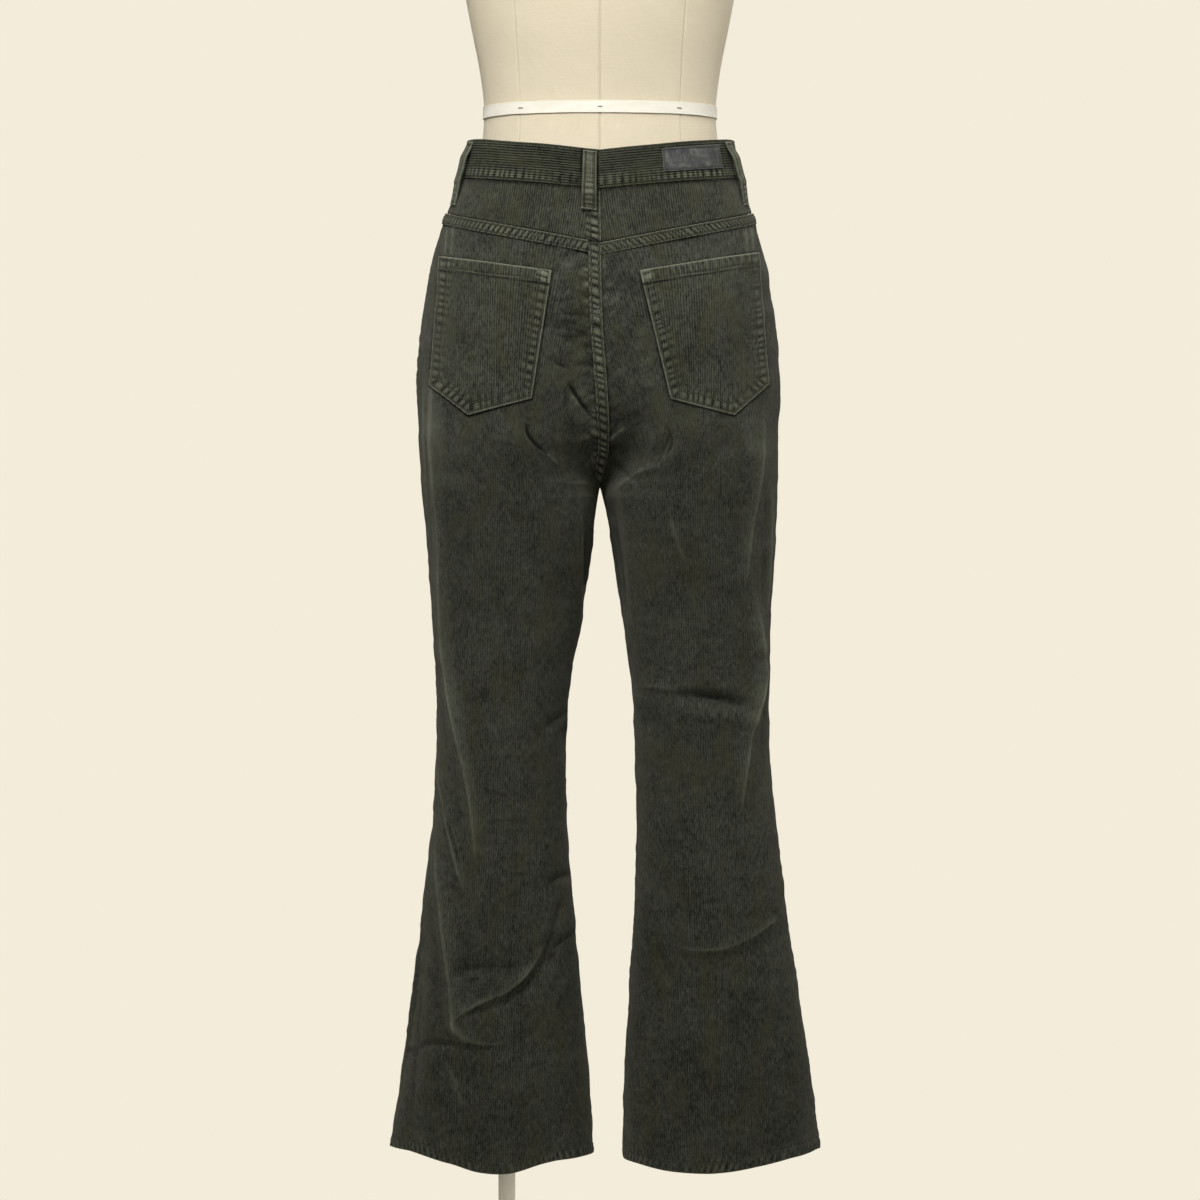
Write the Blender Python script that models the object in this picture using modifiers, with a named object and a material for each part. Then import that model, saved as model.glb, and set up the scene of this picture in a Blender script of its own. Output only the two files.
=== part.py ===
"""Flared corduroy trousers on a limbless dress form and its stand, in metres, +Z up.

The wearer faces +Y, so the seat, the yoke and the back pockets face -Y, and the wearer's left is -X.
The origin is on the floor under the middle of the stand's base.

Every cloth piece is a wall cut from one body surface. A point of that surface has four coordinates:
side is -1 or +1 for the leg at -X or +X, face is -1 for the back and +1 for the front,
u runs from 0 at the outer side seam to 1 at the inseam, or at the centre seam above the crotch, and
h runs from 0 at the hem through 1 at the crotch to 2 at the top of the waistband.
"""

import math

import bmesh
import bpy
import numpy as np
from mathutils import Matrix, Vector

# ---- cloth and sewing ----
CLOTH = 0.0016  # thickness of the corduroy
GAP = 0.0003  # clearance between neighbouring pieces
HEM_DEPTH = 0.018  # height of the turned-up hem
HEM_CLOTH = 0.0030  # thickness of the turned-up hem
BAND_OUT = 0.0012  # the waistband stands this far out of the body surface
BAND_IN = 0.0024
SQUARENESS = 2.5  # exponent of the super-ellipse of a cross-section

# ---- heights ----
HEM_Z = 0.1725
CROTCH_Z = 0.8765

# ---- seams above the crotch, as a share of the way from crotch to waistband top ----
SEAT_T = 0.44  # the crotch curve has become the upright centre seam
YOKE_T = 0.785
BAND_T = 0.895
RISE_ROWS = [  # share, z at the side seam, z at the centre back, z at the centre front
    (0.0, 0.8765, 0.8765, 0.8765),
    (SEAT_T, 1.0355, 0.9865, 0.9665),
    (YOKE_T, 1.1600, 1.1260, 1.1180),
    (BAND_T, 1.1945, 1.1800, 1.1740),
    (1.0, 1.2345, 1.2190, 1.2130),
]

# ---- cross-sections of the legs and of the hips ----
LEG_ROWS = [  # z, |x| of left outer, left inner, right inner and right outer edge, y of back, seam, front
    (0.1725, 0.2233, 0.0075, 0.0246, 0.2329, -0.088, -0.022, 0.040),
    (0.2009, 0.2190, 0.0080, 0.0246, 0.2300, -0.087, -0.022, 0.040),
    (0.2444, 0.2121, 0.0107, 0.0250, 0.2249, -0.086, -0.021, 0.040),
    (0.3311, 0.2010, 0.0185, 0.0298, 0.2116, -0.083, -0.020, 0.039),
    (0.4173, 0.1888, 0.0262, 0.0350, 0.1983, -0.080, -0.020, 0.039),
    (0.5031, 0.1777, 0.0335, 0.0385, 0.1873, -0.079, -0.019, 0.040),
    (0.5885, 0.1720, 0.0359, 0.0372, 0.1773, -0.080, -0.018, 0.042),
    (0.6735, 0.1716, 0.0310, 0.0322, 0.1758, -0.085, -0.016, 0.048),
    (0.7580, 0.1754, 0.0172, 0.0205, 0.1775, -0.096, -0.014, 0.060),
    (0.8210, 0.1803, 0.0073, 0.0115, 0.1813, -0.109, -0.012, 0.076),
    (0.8560, 0.1838, 0.0042, 0.0056, 0.1828, -0.117, -0.010, 0.086),
    (0.8765, 0.1850, 0.0004, 0.0004, 0.1835, -0.122, -0.010, 0.092),
]
HIP_ROWS = [  # z, |x| of left and right side, y of back, side seam, front, centre back, centre front
    (0.8765, 0.1850, 0.1835, -0.122, -0.010, 0.092, -0.108, 0.084),
    (0.9154, 0.1878, 0.1842, -0.129, -0.009, 0.101, -0.116, 0.094),
    (0.9571, 0.1889, 0.1850, -0.135, -0.008, 0.110, -0.123, 0.104),
    (0.9883, 0.1905, 0.1866, -0.137, -0.007, 0.115, -0.127, 0.110),
    (1.0194, 0.1886, 0.1848, -0.136, -0.006, 0.117, -0.128, 0.113),
    (1.0505, 0.1850, 0.1812, -0.132, -0.005, 0.117, -0.126, 0.114),
    (1.0816, 0.1795, 0.1766, -0.127, -0.004, 0.115, -0.122, 0.113),
    (1.1126, 0.1742, 0.1706, -0.120, -0.003, 0.112, -0.117, 0.110),
    (1.1538, 0.1610, 0.1590, -0.110, -0.002, 0.106, -0.109, 0.105),
    (1.1945, 0.1440, 0.1450, -0.102, 0.000, 0.101, -0.102, 0.100),
    (1.2345, 0.1360, 0.1375, -0.097, 0.000, 0.097, -0.097, 0.096),
]

# ---- folds of the hanging cloth; height is out of the cloth where positive, into it where negative ----
FOLD_COLUMNS = ("face", "x0", "z0", "x1", "z1", "x2", "z2", "half_width", "height")
FOLD_ROWS = [
    (-1, -0.169, 0.960, -0.167, 0.820, -0.164, 0.700, 0.014, 0.0040),  # left side crease, thigh
    (-1, -0.165, 0.705, -0.151, 0.610, -0.132, 0.500, 0.014, 0.0060),  # left side crease, knee
    (-1, -0.168, 0.585, -0.157, 0.500, -0.146, 0.410, 0.014, 0.0050),  # second crease under it
    (-1, -0.168, 0.450, -0.162, 0.370, -0.160, 0.290, 0.016, 0.0060),  # edge of the flare's side wing
    (-1, -0.190, 0.400, -0.197, 0.290, -0.203, 0.160, 0.020, -0.0090),  # the wing itself, set back
    (-1, -0.042, 0.430, -0.075, 0.345, -0.152, 0.316, 0.015, -0.0085),  # long bent crease of the shin
    (-1, -0.190, 0.280, -0.160, 0.284, -0.110, 0.280, 0.014, -0.0050),  # level crease under it
    (-1, -0.060, 0.300, -0.085, 0.270, -0.100, 0.160, 0.026, 0.0060),  # wave of the left hem
    (-1, -0.175, 0.260, -0.182, 0.210, -0.188, 0.160, 0.020, 0.0050),
    (-1, -0.033, 0.640, -0.050, 0.630, -0.066, 0.610, 0.014, -0.0050),  # inner knee crease
    (-1, 0.168, 0.925, 0.164, 0.840, 0.158, 0.760, 0.014, 0.0040),  # right side crease, thigh
    (-1, 0.160, 0.745, 0.172, 0.680, 0.160, 0.600, 0.015, 0.0060),  # right side crease, knee
    (-1, 0.156, 0.610, 0.150, 0.560, 0.146, 0.500, 0.014, 0.0050),
    (-1, 0.060, 0.664, 0.115, 0.652, 0.158, 0.652, 0.016, -0.0100),  # deep crease behind the right knee
    (-1, 0.060, 0.610, 0.115, 0.618, 0.150, 0.612, 0.018, 0.0045),  # swell under it
    (-1, 0.060, 0.410, 0.120, 0.372, 0.186, 0.424, 0.016, -0.0050),  # curved crease of the right shin
    (-1, 0.110, 0.300, 0.112, 0.230, 0.114, 0.160, 0.030, 0.0050),  # wave of the right hem
    (-1, -0.032, 0.985, -0.022, 0.968, -0.012, 0.945, 0.013, -0.0045),  # seat creases
    (-1, -0.080, 0.945, -0.072, 0.922, -0.046, 0.902, 0.014, -0.0055),
    (-1, 0.072, 0.945, 0.066, 0.918, 0.054, 0.900, 0.014, -0.0050),
    (1, -0.020, 0.905, -0.060, 0.935, -0.105, 0.955, 0.016, -0.0060),  # creases from crotch to hip, front
    (1, 0.022, 0.900, 0.070, 0.925, 0.118, 0.950, 0.016, -0.0060),
    (1, -0.030, 0.850, -0.075, 0.868, -0.120, 0.880, 0.016, -0.0045),
    (1, 0.035, 0.845, 0.080, 0.860, 0.125, 0.874, 0.016, -0.0045),
    (1, -0.050, 0.640, -0.105, 0.622, -0.150, 0.646, 0.018, -0.0060),  # knee creases, front
    (1, 0.055, 0.628, 0.105, 0.645, 0.152, 0.632, 0.018, -0.0055),
    (1, -0.105, 0.560, -0.116, 0.400, -0.130, 0.160, 0.022, 0.0065),  # long soft folds of the flare, front
    (1, 0.110, 0.540, 0.122, 0.390, 0.134, 0.160, 0.022, 0.0065),
    (1, -0.058, 0.480, -0.054, 0.340, -0.048, 0.160, 0.020, -0.0050),
    (1, 0.066, 0.470, 0.066, 0.330, 0.066, 0.160, 0.020, -0.0050),
]
FOLDS = [dict(zip(FOLD_COLUMNS, row)) for row in FOLD_ROWS]
SEAT_FULLNESS = 0.015  # extra depth of each buttock, halfway up the crotch curve
BELLY_FULLNESS = 0.008
HEM_ROWS = [  # u, height of the hem: left back, left front, right back, right front
    (0.00, 0.1790, 0.1790, 0.1767, 0.1767),
    (0.12, 0.1848, 0.1785, 0.1825, 0.1760),
    (0.25, 0.1860, 0.1780, 0.1814, 0.1750),
    (0.38, 0.1791, 0.1770, 0.1760, 0.1745),
    (0.47, 0.1700, 0.1765, 0.1710, 0.1740),
    (0.56, 0.1690, 0.1760, 0.1690, 0.1738),
    (0.66, 0.1774, 0.1755, 0.1690, 0.1730),
    (0.80, 0.1788, 0.1745, 0.1720, 0.1710),
    (1.00, 0.1727, 0.1727, 0.1670, 0.1670),
]

# ---- sewn-on pieces ----
POCKET_CLOTH = 0.0016
POCKETS = {  # (x, z) of outer top, inner top, inner bottom, tip and outer bottom corner
    "left": [(-0.163, 1.114), (-0.0480, 1.0980), (-0.0680, 0.9710), (-0.1312, 0.9540), (-0.1725, 0.9845)],
    "right": [(0.1610, 1.118), (0.0395, 1.0980), (0.0705, 0.9705), (0.1338, 0.9540), (0.1705, 0.9850)],
}
FLY_EDGE_X = 0.012  # the fly and the waistband's upper end close here
FLY_WIDTH = 0.046
FLY_LOW_Z = 0.985
FLY_CLOTH = 0.0014
SCOOP_U = 0.47  # the front pocket's opening starts here at the waistband
SCOOP_T = 0.60  # and ends here at the side seam
FACING_GAP = 0.0018  # between the front panel and the piece under its scoop
FACING_TUCK_U = 0.05  # the facing runs this far under the panel
FELL_CLOTH = 0.0010  # a felled seam's raised band
OVERLAY_GAP = 0.0004  # between a panel and what is sewn on it
PATCH_GAP = 0.0007
LOOP_WIDTH = 0.0145
LOOP_CLOTH = 0.0024
LOOPS = {  # side, face, u of the middle, its lean in u, clear depth of the gap, share of the rise at its foot
    "loop_back": (-1, -1, 0.956, 0.0, 0.0065, 0.848),
    "loop_side_left": (-1, -1, 0.255, 0.15, 0.0062, 0.812),
    "loop_side_right": (1, -1, 0.285, 0.40, 0.0063, 0.812),
    "loop_front_left": (-1, 1, 0.700, 0.0, 0.0082, 0.825),
    "loop_front_right": (1, 1, 0.700, 0.0, 0.0082, 0.825),
}
LOOP_HEAD_T = 0.950  # a leaning loop crosses its middle u at this share
LOOP_TOP_T = 0.992
PATCH_X = (0.0622, 0.1218)
PATCH_T = (0.922, 0.986)
PATCH_Z = 1.2075
PATCH_CLOTH = 0.0012
BUTTON_RADIUS = 0.0085
BUTTON_HEIGHT = 0.0030
BUTTON_T = 0.948

# ---- dress form and stand ----
FORM_ROWS = [  # z, half width, y of back, y of front
    (0.960, 0.146, -0.096, 0.080),
    (0.968, 0.162, -0.107, 0.090),
    (0.985, 0.172, -0.117, 0.097),
    (1.010, 0.174, -0.120, 0.100),
    (1.050, 0.170, -0.118, 0.100),
    (1.090, 0.162, -0.112, 0.098),
    (1.130, 0.151, -0.104, 0.094),
    (1.165, 0.139, -0.096, 0.090),
    (1.200, 0.128, -0.089, 0.087),
    (1.235, 0.1215, -0.085, 0.086),
    (1.265, 0.1195, -0.084, 0.086),
    (1.300, 0.1230, -0.087, 0.089),
    (1.345, 0.1315, -0.093, 0.098),
    (1.390, 0.1400, -0.098, 0.109),
    (1.440, 0.1480, -0.102, 0.122),
    (1.475, 0.1540, -0.104, 0.126),
    (1.520, 0.1640, -0.105, 0.117),
    (1.560, 0.1720, -0.102, 0.103),
    (1.600, 0.1740, -0.093, 0.080),
    (1.622, 0.1640, -0.084, 0.064),
    (1.640, 0.1360, -0.075, 0.054),
    (1.658, 0.0980, -0.067, 0.049),
    (1.676, 0.0680, -0.059, 0.046),
    (1.700, 0.0560, -0.051, 0.044),
    (1.740, 0.0530, -0.047, 0.046),
]
NECK_CAP_HEIGHT = 0.016
ARM_PLATE_X = 0.1650  # the torso is cut flat here at the armholes
ARM_PLATE_RADII = (0.034, 0.046)
ARM_PLATE_Z = 1.556
ARM_PLATE_Y = -0.004
PLATE_THICKNESS = 0.005
TAPE_Z = 1.2628
TAPE_HEIGHT = 0.0125
TAPE_THICKNESS = 0.0009
TAPE_GAP = 0.0006
ROD_X = -0.100
ROD_Y = 0.010
ROD_RADIUS = 0.009
SOCKET_RADIUS = 0.034
SOCKET_HEIGHT = 0.012
BASE_RADIUS = 0.236
BASE_HEIGHT = 0.012
BASE_EDGE = 0.004


# ================= interpolation =================
def smooth_rows(rows, column, key):
    """A smooth curve through one column of a table whose first column rises, read at key."""
    table = np.array(rows, float)
    knots = table[:, 0]
    values = table[:, column]
    slopes = np.gradient(values, knots)
    key = np.clip(np.asarray(key, float), knots[0], knots[-1])
    low = np.clip(np.searchsorted(knots, key) - 1, 0, len(knots) - 2)
    span = knots[low + 1] - knots[low]
    s = (key - knots[low]) / span
    return (
        values[low] * (1 + 2 * s) * (1 - s) ** 2
        + slopes[low] * span * s * (1 - s) ** 2
        + values[low + 1] * s**2 * (3 - 2 * s)
        - slopes[low + 1] * span * s**2 * (1 - s)
    )


def quarter_angle(share):
    """Angle on a super-ellipse's quarter at this share of the quarter's length."""
    angle = np.linspace(0, np.pi / 2, 721)
    power = 2 / SQUARENESS
    steps = np.hypot(np.diff(np.cos(angle) ** power), np.diff(np.sin(angle) ** power))
    length = np.concatenate([[0.0], np.cumsum(steps)])
    return np.interp(share, length / length[-1], angle)


def half_angle(share):
    """The same over a half, through both of its quarters."""
    mirrored = np.pi - quarter_angle(2 - 2 * np.clip(share, 0.5, 1.0))
    return np.where(share <= 0.5, quarter_angle(2 * np.clip(share, 0.0, 0.5)), mirrored)


def ease(value, low, high):
    """0 up to low, 1 from high on, and a smooth step between them."""
    s = np.clip((value - low) / (high - low), 0.0, 1.0)
    return s * s * (3 - 2 * s)


# ================= the body surface =================
def body_z(side, face, u, h):
    """Height of a surface point, with the uneven hem and the rise's sloping seams."""
    leg = np.clip(h, 0.0, 1.0)
    rise = np.clip(h - 1.0, 0.0, 1.0)
    table = np.array(RISE_ROWS, float)
    side_z = np.interp(rise, table[:, 0], table[:, 1])
    column = 2 if face < 0 else 3
    curve_height = table[1, column] - CROTCH_Z
    curve = curve_height * (1 - np.cos(np.pi / 2 * np.clip(rise / SEAT_T, 0, 1)))
    above = np.interp(rise, table[1:, 0], table[1:, column])
    centre_z = np.where(rise < SEAT_T, CROTCH_Z + curve, above)
    slope = 1 - np.cos(np.pi / 2 * u)
    rise_z = side_z * (1 - slope) + centre_z * slope
    hem_column = (1 if face < 0 else 2) + (0 if side < 0 else 2)
    hem = smooth_rows(HEM_ROWS, hem_column, u)
    leg_z = hem + (CROTCH_Z - hem) * leg
    return np.where(h <= 1.0, leg_z, rise_z)


def body_point(side, face, u, h):
    """Point of the smooth body surface, before any fold."""
    u = np.asarray(u, float)
    h = np.asarray(h, float)
    u, h = np.broadcast_arrays(u, h)
    z = body_z(side, face, u, h)
    power = 2 / SQUARENESS
    leg_columns = (1, 2) if side < 0 else (4, 3)
    outer = smooth_rows(LEG_ROWS, leg_columns[0], z)
    inner = smooth_rows(LEG_ROWS, leg_columns[1], z)
    depth = smooth_rows(LEG_ROWS, 5 if face < 0 else 7, z)
    seam = smooth_rows(LEG_ROWS, 6, z)

    hip_outer = smooth_rows(HIP_ROWS, 1 if side < 0 else 2, z)
    hip_depth = smooth_rows(HIP_ROWS, 3 if face < 0 else 5, z)
    hip_seam = smooth_rows(HIP_ROWS, 4, z)
    hip_centre = smooth_rows(HIP_ROWS, 6 if face < 0 else 7, z)

    above = h > 1.0
    outer = np.where(above, hip_outer, outer)
    inner = np.where(above, 0.0, inner)
    depth = np.where(above, hip_depth, depth)
    seam = np.where(above, hip_seam, seam)

    angle = half_angle(u)
    cosine = np.cos(angle)
    leg_x = (outer + inner) / 2 + (outer - inner) / 2 * np.sign(cosine) * np.abs(cosine) ** power
    leg_y = seam + (depth - seam) * np.abs(np.sin(angle)) ** power

    quarter = quarter_angle(u)
    hip_x = hip_outer * np.abs(np.cos(quarter)) ** power
    full = hip_depth + (hip_centre - hip_depth) * ease(u, 0.55, 1.0)
    hip_y = hip_seam + (full - hip_seam) * np.abs(np.sin(quarter)) ** power

    rise = np.clip((h - 1.0) / SEAT_T, 0.0, 1.0)
    inner = ease(u, 0.30, 1.0)
    joined = inner * np.sin(np.pi / 2 * rise) + (1 - inner) * ease(rise, 0.0, 1.0)
    x = leg_x * (1 - joined) + hip_x * joined
    y = leg_y * (1 - joined) + hip_y * joined
    fullness = SEAT_FULLNESS if face < 0 else -BELLY_FULLNESS
    y = y - fullness * np.sin(np.pi * rise) ** 2 * np.sin(np.pi * np.clip(u, 0, 1) ** 1.4) ** 2
    return np.stack([side * x, y, z], axis=-1)


def body_normal(side, face, u, h):
    """Outward unit normal of the smooth body surface. On a seam it lies in the seam's own plane."""
    step = 0.004
    u, h = np.broadcast_arrays(np.asarray(u, float), np.asarray(h, float))
    u_low, u_high = np.clip(u - step, 0, 1), np.clip(u + step, 0, 1)
    h_low, h_high = np.clip(h - step, 0, 2), np.clip(h + step, 0, 2)
    along_u = body_point(side, face, u_high, h) - body_point(side, face, u_low, h)
    along_h = body_point(side, face, u, h_high) - body_point(side, face, u, h_low)
    normal = np.cross(along_u, along_h) * side * face
    at_side = (u <= 0)[..., None]
    at_inner = (u >= 1)[..., None]
    above = (h >= 1)[..., None]
    no_y = np.where(at_side | (at_inner & ~above), np.array([1.0, 0.0, 1.0]), 1.0)
    no_x = np.where(at_inner & above, np.array([0.0, 1.0, 1.0]), 1.0)
    normal = normal * no_y * no_x
    crotch = np.array([0.0, 0.0, -1.0])
    normal = np.where(at_inner & (np.abs(h - 1) < 1e-9)[..., None], crotch, normal)
    return normal / np.linalg.norm(normal, axis=-1, keepdims=True)


def fold_height(face, x, z):
    """How far the folds push the cloth out at (x, z) of one face."""
    total = np.zeros(np.shape(x))
    for fold in FOLDS:
        if fold["face"] != face:
            continue
        nearest = np.full(np.shape(x), 1e9)
        taper = np.zeros(np.shape(x))
        for s in np.linspace(0, 1, 17):
            px = (1 - s) ** 2 * fold["x0"] + 2 * s * (1 - s) * fold["x1"] + s * s * fold["x2"]
            pz = (1 - s) ** 2 * fold["z0"] + 2 * s * (1 - s) * fold["z1"] + s * s * fold["z2"]
            away = np.hypot(x - px, z - pz)
            closer = away < nearest
            nearest = np.where(closer, away, nearest)
            taper = np.where(closer, math.sin(math.pi * (0.12 + 0.76 * s)), taper)
        total += fold["height"] * taper * np.exp(-((nearest / fold["half_width"]) ** 2))
    return total


def cloth_point(side, face, u, h, lift=0.0):
    """Point of the folded cloth's outer surface, moved out by lift, and the normal there."""
    point = body_point(side, face, u, h)
    normal = body_normal(side, face, u, h)
    u, h = np.broadcast_arrays(np.asarray(u, float), np.asarray(h, float))
    inner_fade = np.maximum(1 - ease(u, 0.90, 1.0), ease(h, 1.0, 1.15))
    height = fold_height(face, point[..., 0], point[..., 2]) * ease(u, 0.0, 0.10) * inner_fade
    return point + normal * (height + lift)[..., None], normal


def locate(side, face, x, z, start_u=0.5, start_h=1.5):
    """The u and h of the surface points seen at (x, z), found by Newton's method."""
    x, z = np.asarray(x, float), np.asarray(z, float)
    u = np.full(x.shape, start_u)
    h = np.full(x.shape, start_h)
    step = 1e-4
    for _ in range(40):
        here = body_point(side, face, u, h)
        du = (body_point(side, face, u + step, h) - here) / step
        dh = (body_point(side, face, u, h + step) - here) / step
        off_x, off_z = x - here[..., 0], z - here[..., 2]
        area = du[..., 0] * dh[..., 2] - du[..., 2] * dh[..., 0]
        area = np.where(np.abs(area) < 1e-9, 1e-9, area)
        move_u = (off_x * dh[..., 2] - off_z * dh[..., 0]) / area
        move_h = (du[..., 0] * off_z - du[..., 2] * off_x) / area
        u = np.clip(u + np.clip(move_u, -0.1, 0.1), 0.01, 0.99)
        h = np.clip(h + np.clip(move_h, -0.1, 0.1), 1.01, 1.99)
    return u, h


# ================= meshes =================
def material(name, color, roughness, metallic=0.0):
    made = bpy.data.materials.new(name)
    made.use_nodes = True
    shader = made.node_tree.nodes["Principled BSDF"]
    shader.inputs["Base Color"].default_value = (*color, 1.0)
    shader.inputs["Roughness"].default_value = roughness
    shader.inputs["Metallic"].default_value = metallic
    return made


def add_object(name, mesh, finish, collection):
    mesh.materials.append(finish)
    mesh.shade_smooth()
    mesh.set_sharp_from_angle(angle=math.radians(40))
    made = bpy.data.objects.new(name, mesh)
    collection.objects.link(made)
    return made


def wall_mesh(name, outer, inner, closed=False):
    """A closed wall between two matching grids of points; closed joins the last column to the first."""
    rows, columns = outer.shape[:2]
    bm = bmesh.new()
    out, into = [[[bm.verts.new(p) for p in row] for row in points] for points in (outer, inner)]
    last = columns if closed else columns - 1
    for j in range(last):
        k = (j + 1) % columns
        for i in range(rows - 1):
            for skin in (out, into):
                bm.faces.new((skin[i][j], skin[i][k], skin[i + 1][k]))
                bm.faces.new((skin[i][j], skin[i + 1][k], skin[i + 1][j]))
        bm.faces.new((out[0][k], out[0][j], into[0][j], into[0][k]))
        bm.faces.new((out[-1][j], out[-1][k], into[-1][k], into[-1][j]))
    if not closed:
        for i in range(rows - 1):
            bm.faces.new((out[i][0], out[i + 1][0], into[i + 1][0], into[i][0]))
            bm.faces.new((out[i + 1][-1], out[i][-1], into[i][-1], into[i + 1][-1]))
    bm.normal_update()
    bmesh.ops.recalc_face_normals(bm, faces=bm.faces)
    mesh = bpy.data.meshes.new(name)
    bm.to_mesh(mesh)
    bm.free()
    return mesh


def cut_from_skins(name, skins, cuts, lift, thickness):
    """A wall over the part of some skins that lies inside every cut.

    Each cut is a line through two (x, z) points with the kept cloth on its right-hand side, seen from
    the back. The kept triangles are moved out by lift and thickened outward.
    """
    bm = bmesh.new()
    for points in skins:
        verts = [[bm.verts.new(p) for p in row] for row in points]
        for i in range(len(verts) - 1):
            for j in range(len(verts[0]) - 1):
                bm.faces.new((verts[i][j], verts[i][j + 1], verts[i + 1][j + 1]))
                bm.faces.new((verts[i][j], verts[i + 1][j + 1], verts[i + 1][j]))
    bmesh.ops.remove_doubles(bm, verts=bm.verts, dist=1e-6)
    for (x0, z0), (x1, z1) in cuts:
        everything = bm.verts[:] + bm.edges[:] + bm.faces[:]
        away = (z0 - z1, 0.0, x1 - x0)
        bmesh.ops.bisect_plane(
            bm, geom=everything, dist=1e-6, plane_co=(x0, 0.0, z0), plane_no=away, clear_outer=True
        )
    bmesh.ops.remove_doubles(bm, verts=bm.verts, dist=4e-4)
    bm.normal_update()
    bmesh.ops.recalc_face_normals(bm, faces=bm.faces)
    middle = sum((f.normal for f in bm.faces), Vector())
    centre = sum((v.co for v in bm.verts), Vector()) / len(bm.verts)
    if middle.dot(centre - Vector((0.0, 0.0, centre.z))) < 0:
        bmesh.ops.reverse_faces(bm, faces=bm.faces)
    bm.normal_update()
    low = [v.co + v.normal * lift for v in bm.verts]
    high = [v.co + v.normal * (lift + thickness) for v in bm.verts]
    bm.verts.index_update()
    faces = [[v.index for v in f.verts] for f in bm.faces]
    rim = [(e.verts[0].index, e.verts[1].index) for e in bm.edges if e.is_boundary]
    bm.free()

    bm = bmesh.new()
    under = [bm.verts.new(p) for p in low]
    over = [bm.verts.new(p) for p in high]
    for face in faces:
        bm.faces.new([over[i] for i in face])
        bm.faces.new([under[i] for i in reversed(face)])
    for i, j in rim:
        bm.faces.new((under[i], under[j], over[j], over[i]))
    bm.normal_update()
    bmesh.ops.recalc_face_normals(bm, faces=bm.faces)
    mesh = bpy.data.meshes.new(name)
    bm.to_mesh(mesh)
    bm.free()
    return mesh


def seam_shift(side, face, u, h):
    """Half the seam clearance, away from the neighbouring piece, at a piece's seam edges."""
    u, h = np.broadcast_arrays(u, h)
    shift = np.zeros((*u.shape, 3))
    shift[..., 1] = np.where((u <= 0) | ((u >= 1) & (h <= 1)), face * GAP / 2, 0.0)
    shift[..., 0] = np.where((u >= 1) & (h >= 1), side * GAP / 2, 0.0)
    return shift


def cloth_wall(name, side, face, u, h, thickness=CLOTH, lift=0.0):
    """A wall of cloth over a grid of u and h, whose outer surface is lifted from the body surface."""
    outer, normal = cloth_point(side, face, u, h, lift)
    shift = seam_shift(side, face, u, h)
    depth = np.broadcast_to(np.asarray(thickness, float), outer.shape[:-1])[..., None]
    return wall_mesh(name, outer + shift, outer + shift - normal * depth)


def grid(u_values, h_values):
    return np.meshgrid(np.asarray(u_values, float), np.asarray(h_values, float))


# ================= the trousers' panels =================
T_STEP = 0.0009  # half the clearance of a seam across the panels, as a share of the rise
FELL_T = 0.030  # height of the yoke seam's felled band, as a share of the rise
BACK_U = np.linspace(0, 1, 17)
FRONT_U = np.linspace(0, 1, 12)
BACK_LEG_H = [0.0, 0.026, *np.linspace(0.058, 0.93, 27), 0.965, 1.0]
BACK_RISE_T = [0.035, 0.08, 0.13, 0.19, 0.25, 0.31, 0.37, SEAT_T, 0.51, 0.58, 0.65, 0.71]
FRONT_LEG_H = [0.0, 0.026, *np.linspace(0.08, 0.93, 17), 0.965, 1.0]
FRONT_RISE_T = [0.035, 0.09, 0.16, 0.24, 0.34, SEAT_T, 0.53]
SCOOP_ROWS_T = [SCOOP_T, 0.64, 0.68, 0.72, 0.76, 0.805, 0.85]


def scoop_edge(t):
    """u of the front pocket's curved opening at share t of the rise, 0 below it."""
    share = np.clip((BAND_T - t) / (BAND_T - SCOOP_T), 0.0, 1.0)
    return SCOOP_U * (1 - share**2.3)


def back_grid():
    top = [YOKE_T - FELL_T, YOKE_T - T_STEP]
    return grid(BACK_U, [*BACK_LEG_H, *(1 + t for t in BACK_RISE_T + top)])


def front_grid():
    t_values = np.array(FRONT_RISE_T + SCOOP_ROWS_T + [BAND_T - T_STEP])
    h_values = np.concatenate([FRONT_LEG_H, 1 + t_values])
    start = scoop_edge(h_values - 1)
    u = start[:, None] + (1 - start[:, None]) * FRONT_U[None, :]
    return u, np.broadcast_to(h_values[:, None], u.shape)


def yoke_grid():
    return grid(BACK_U, 1 + np.linspace(YOKE_T + T_STEP, BAND_T - T_STEP, 4))


def leg_panel(name, side, face):
    """Back or front panel from the hem to the yoke seam, or to the waistband in front."""
    u, h = back_grid() if face < 0 else front_grid()
    hem = h * (CROTCH_Z - HEM_Z) < HEM_DEPTH * 1.05
    return cloth_wall(name, side, face, u, h, np.where(hem, HEM_CLOTH, CLOTH))


def yoke(name, side):
    return cloth_wall(name, side, -1, *yoke_grid())


def pocket_facing(name, side):
    """The piece that shows in the front pocket's opening, one cloth under the panel."""
    t_values = np.linspace(SCOOP_T - 0.03, BAND_T - T_STEP, 7)
    share = np.linspace(0, 1, 6)
    u = (scoop_edge(t_values) + FACING_TUCK_U)[:, None] * share[None, :]
    h = np.broadcast_to(1 + t_values[:, None], u.shape)
    return cloth_wall(name, side, 1, u, h, CLOTH, lift=-(CLOTH + FACING_GAP))


def reach_u(side, face, h, distance):
    """The u at a distance along the surface from the centre seam."""
    u = np.linspace(1, 0.4, 200)
    path = body_point(side, face, u, np.full(u.shape, h))
    length = np.concatenate([[0], np.cumsum(np.linalg.norm(np.diff(path, axis=0), axis=1))])
    return float(np.interp(distance, length, u))


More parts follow.
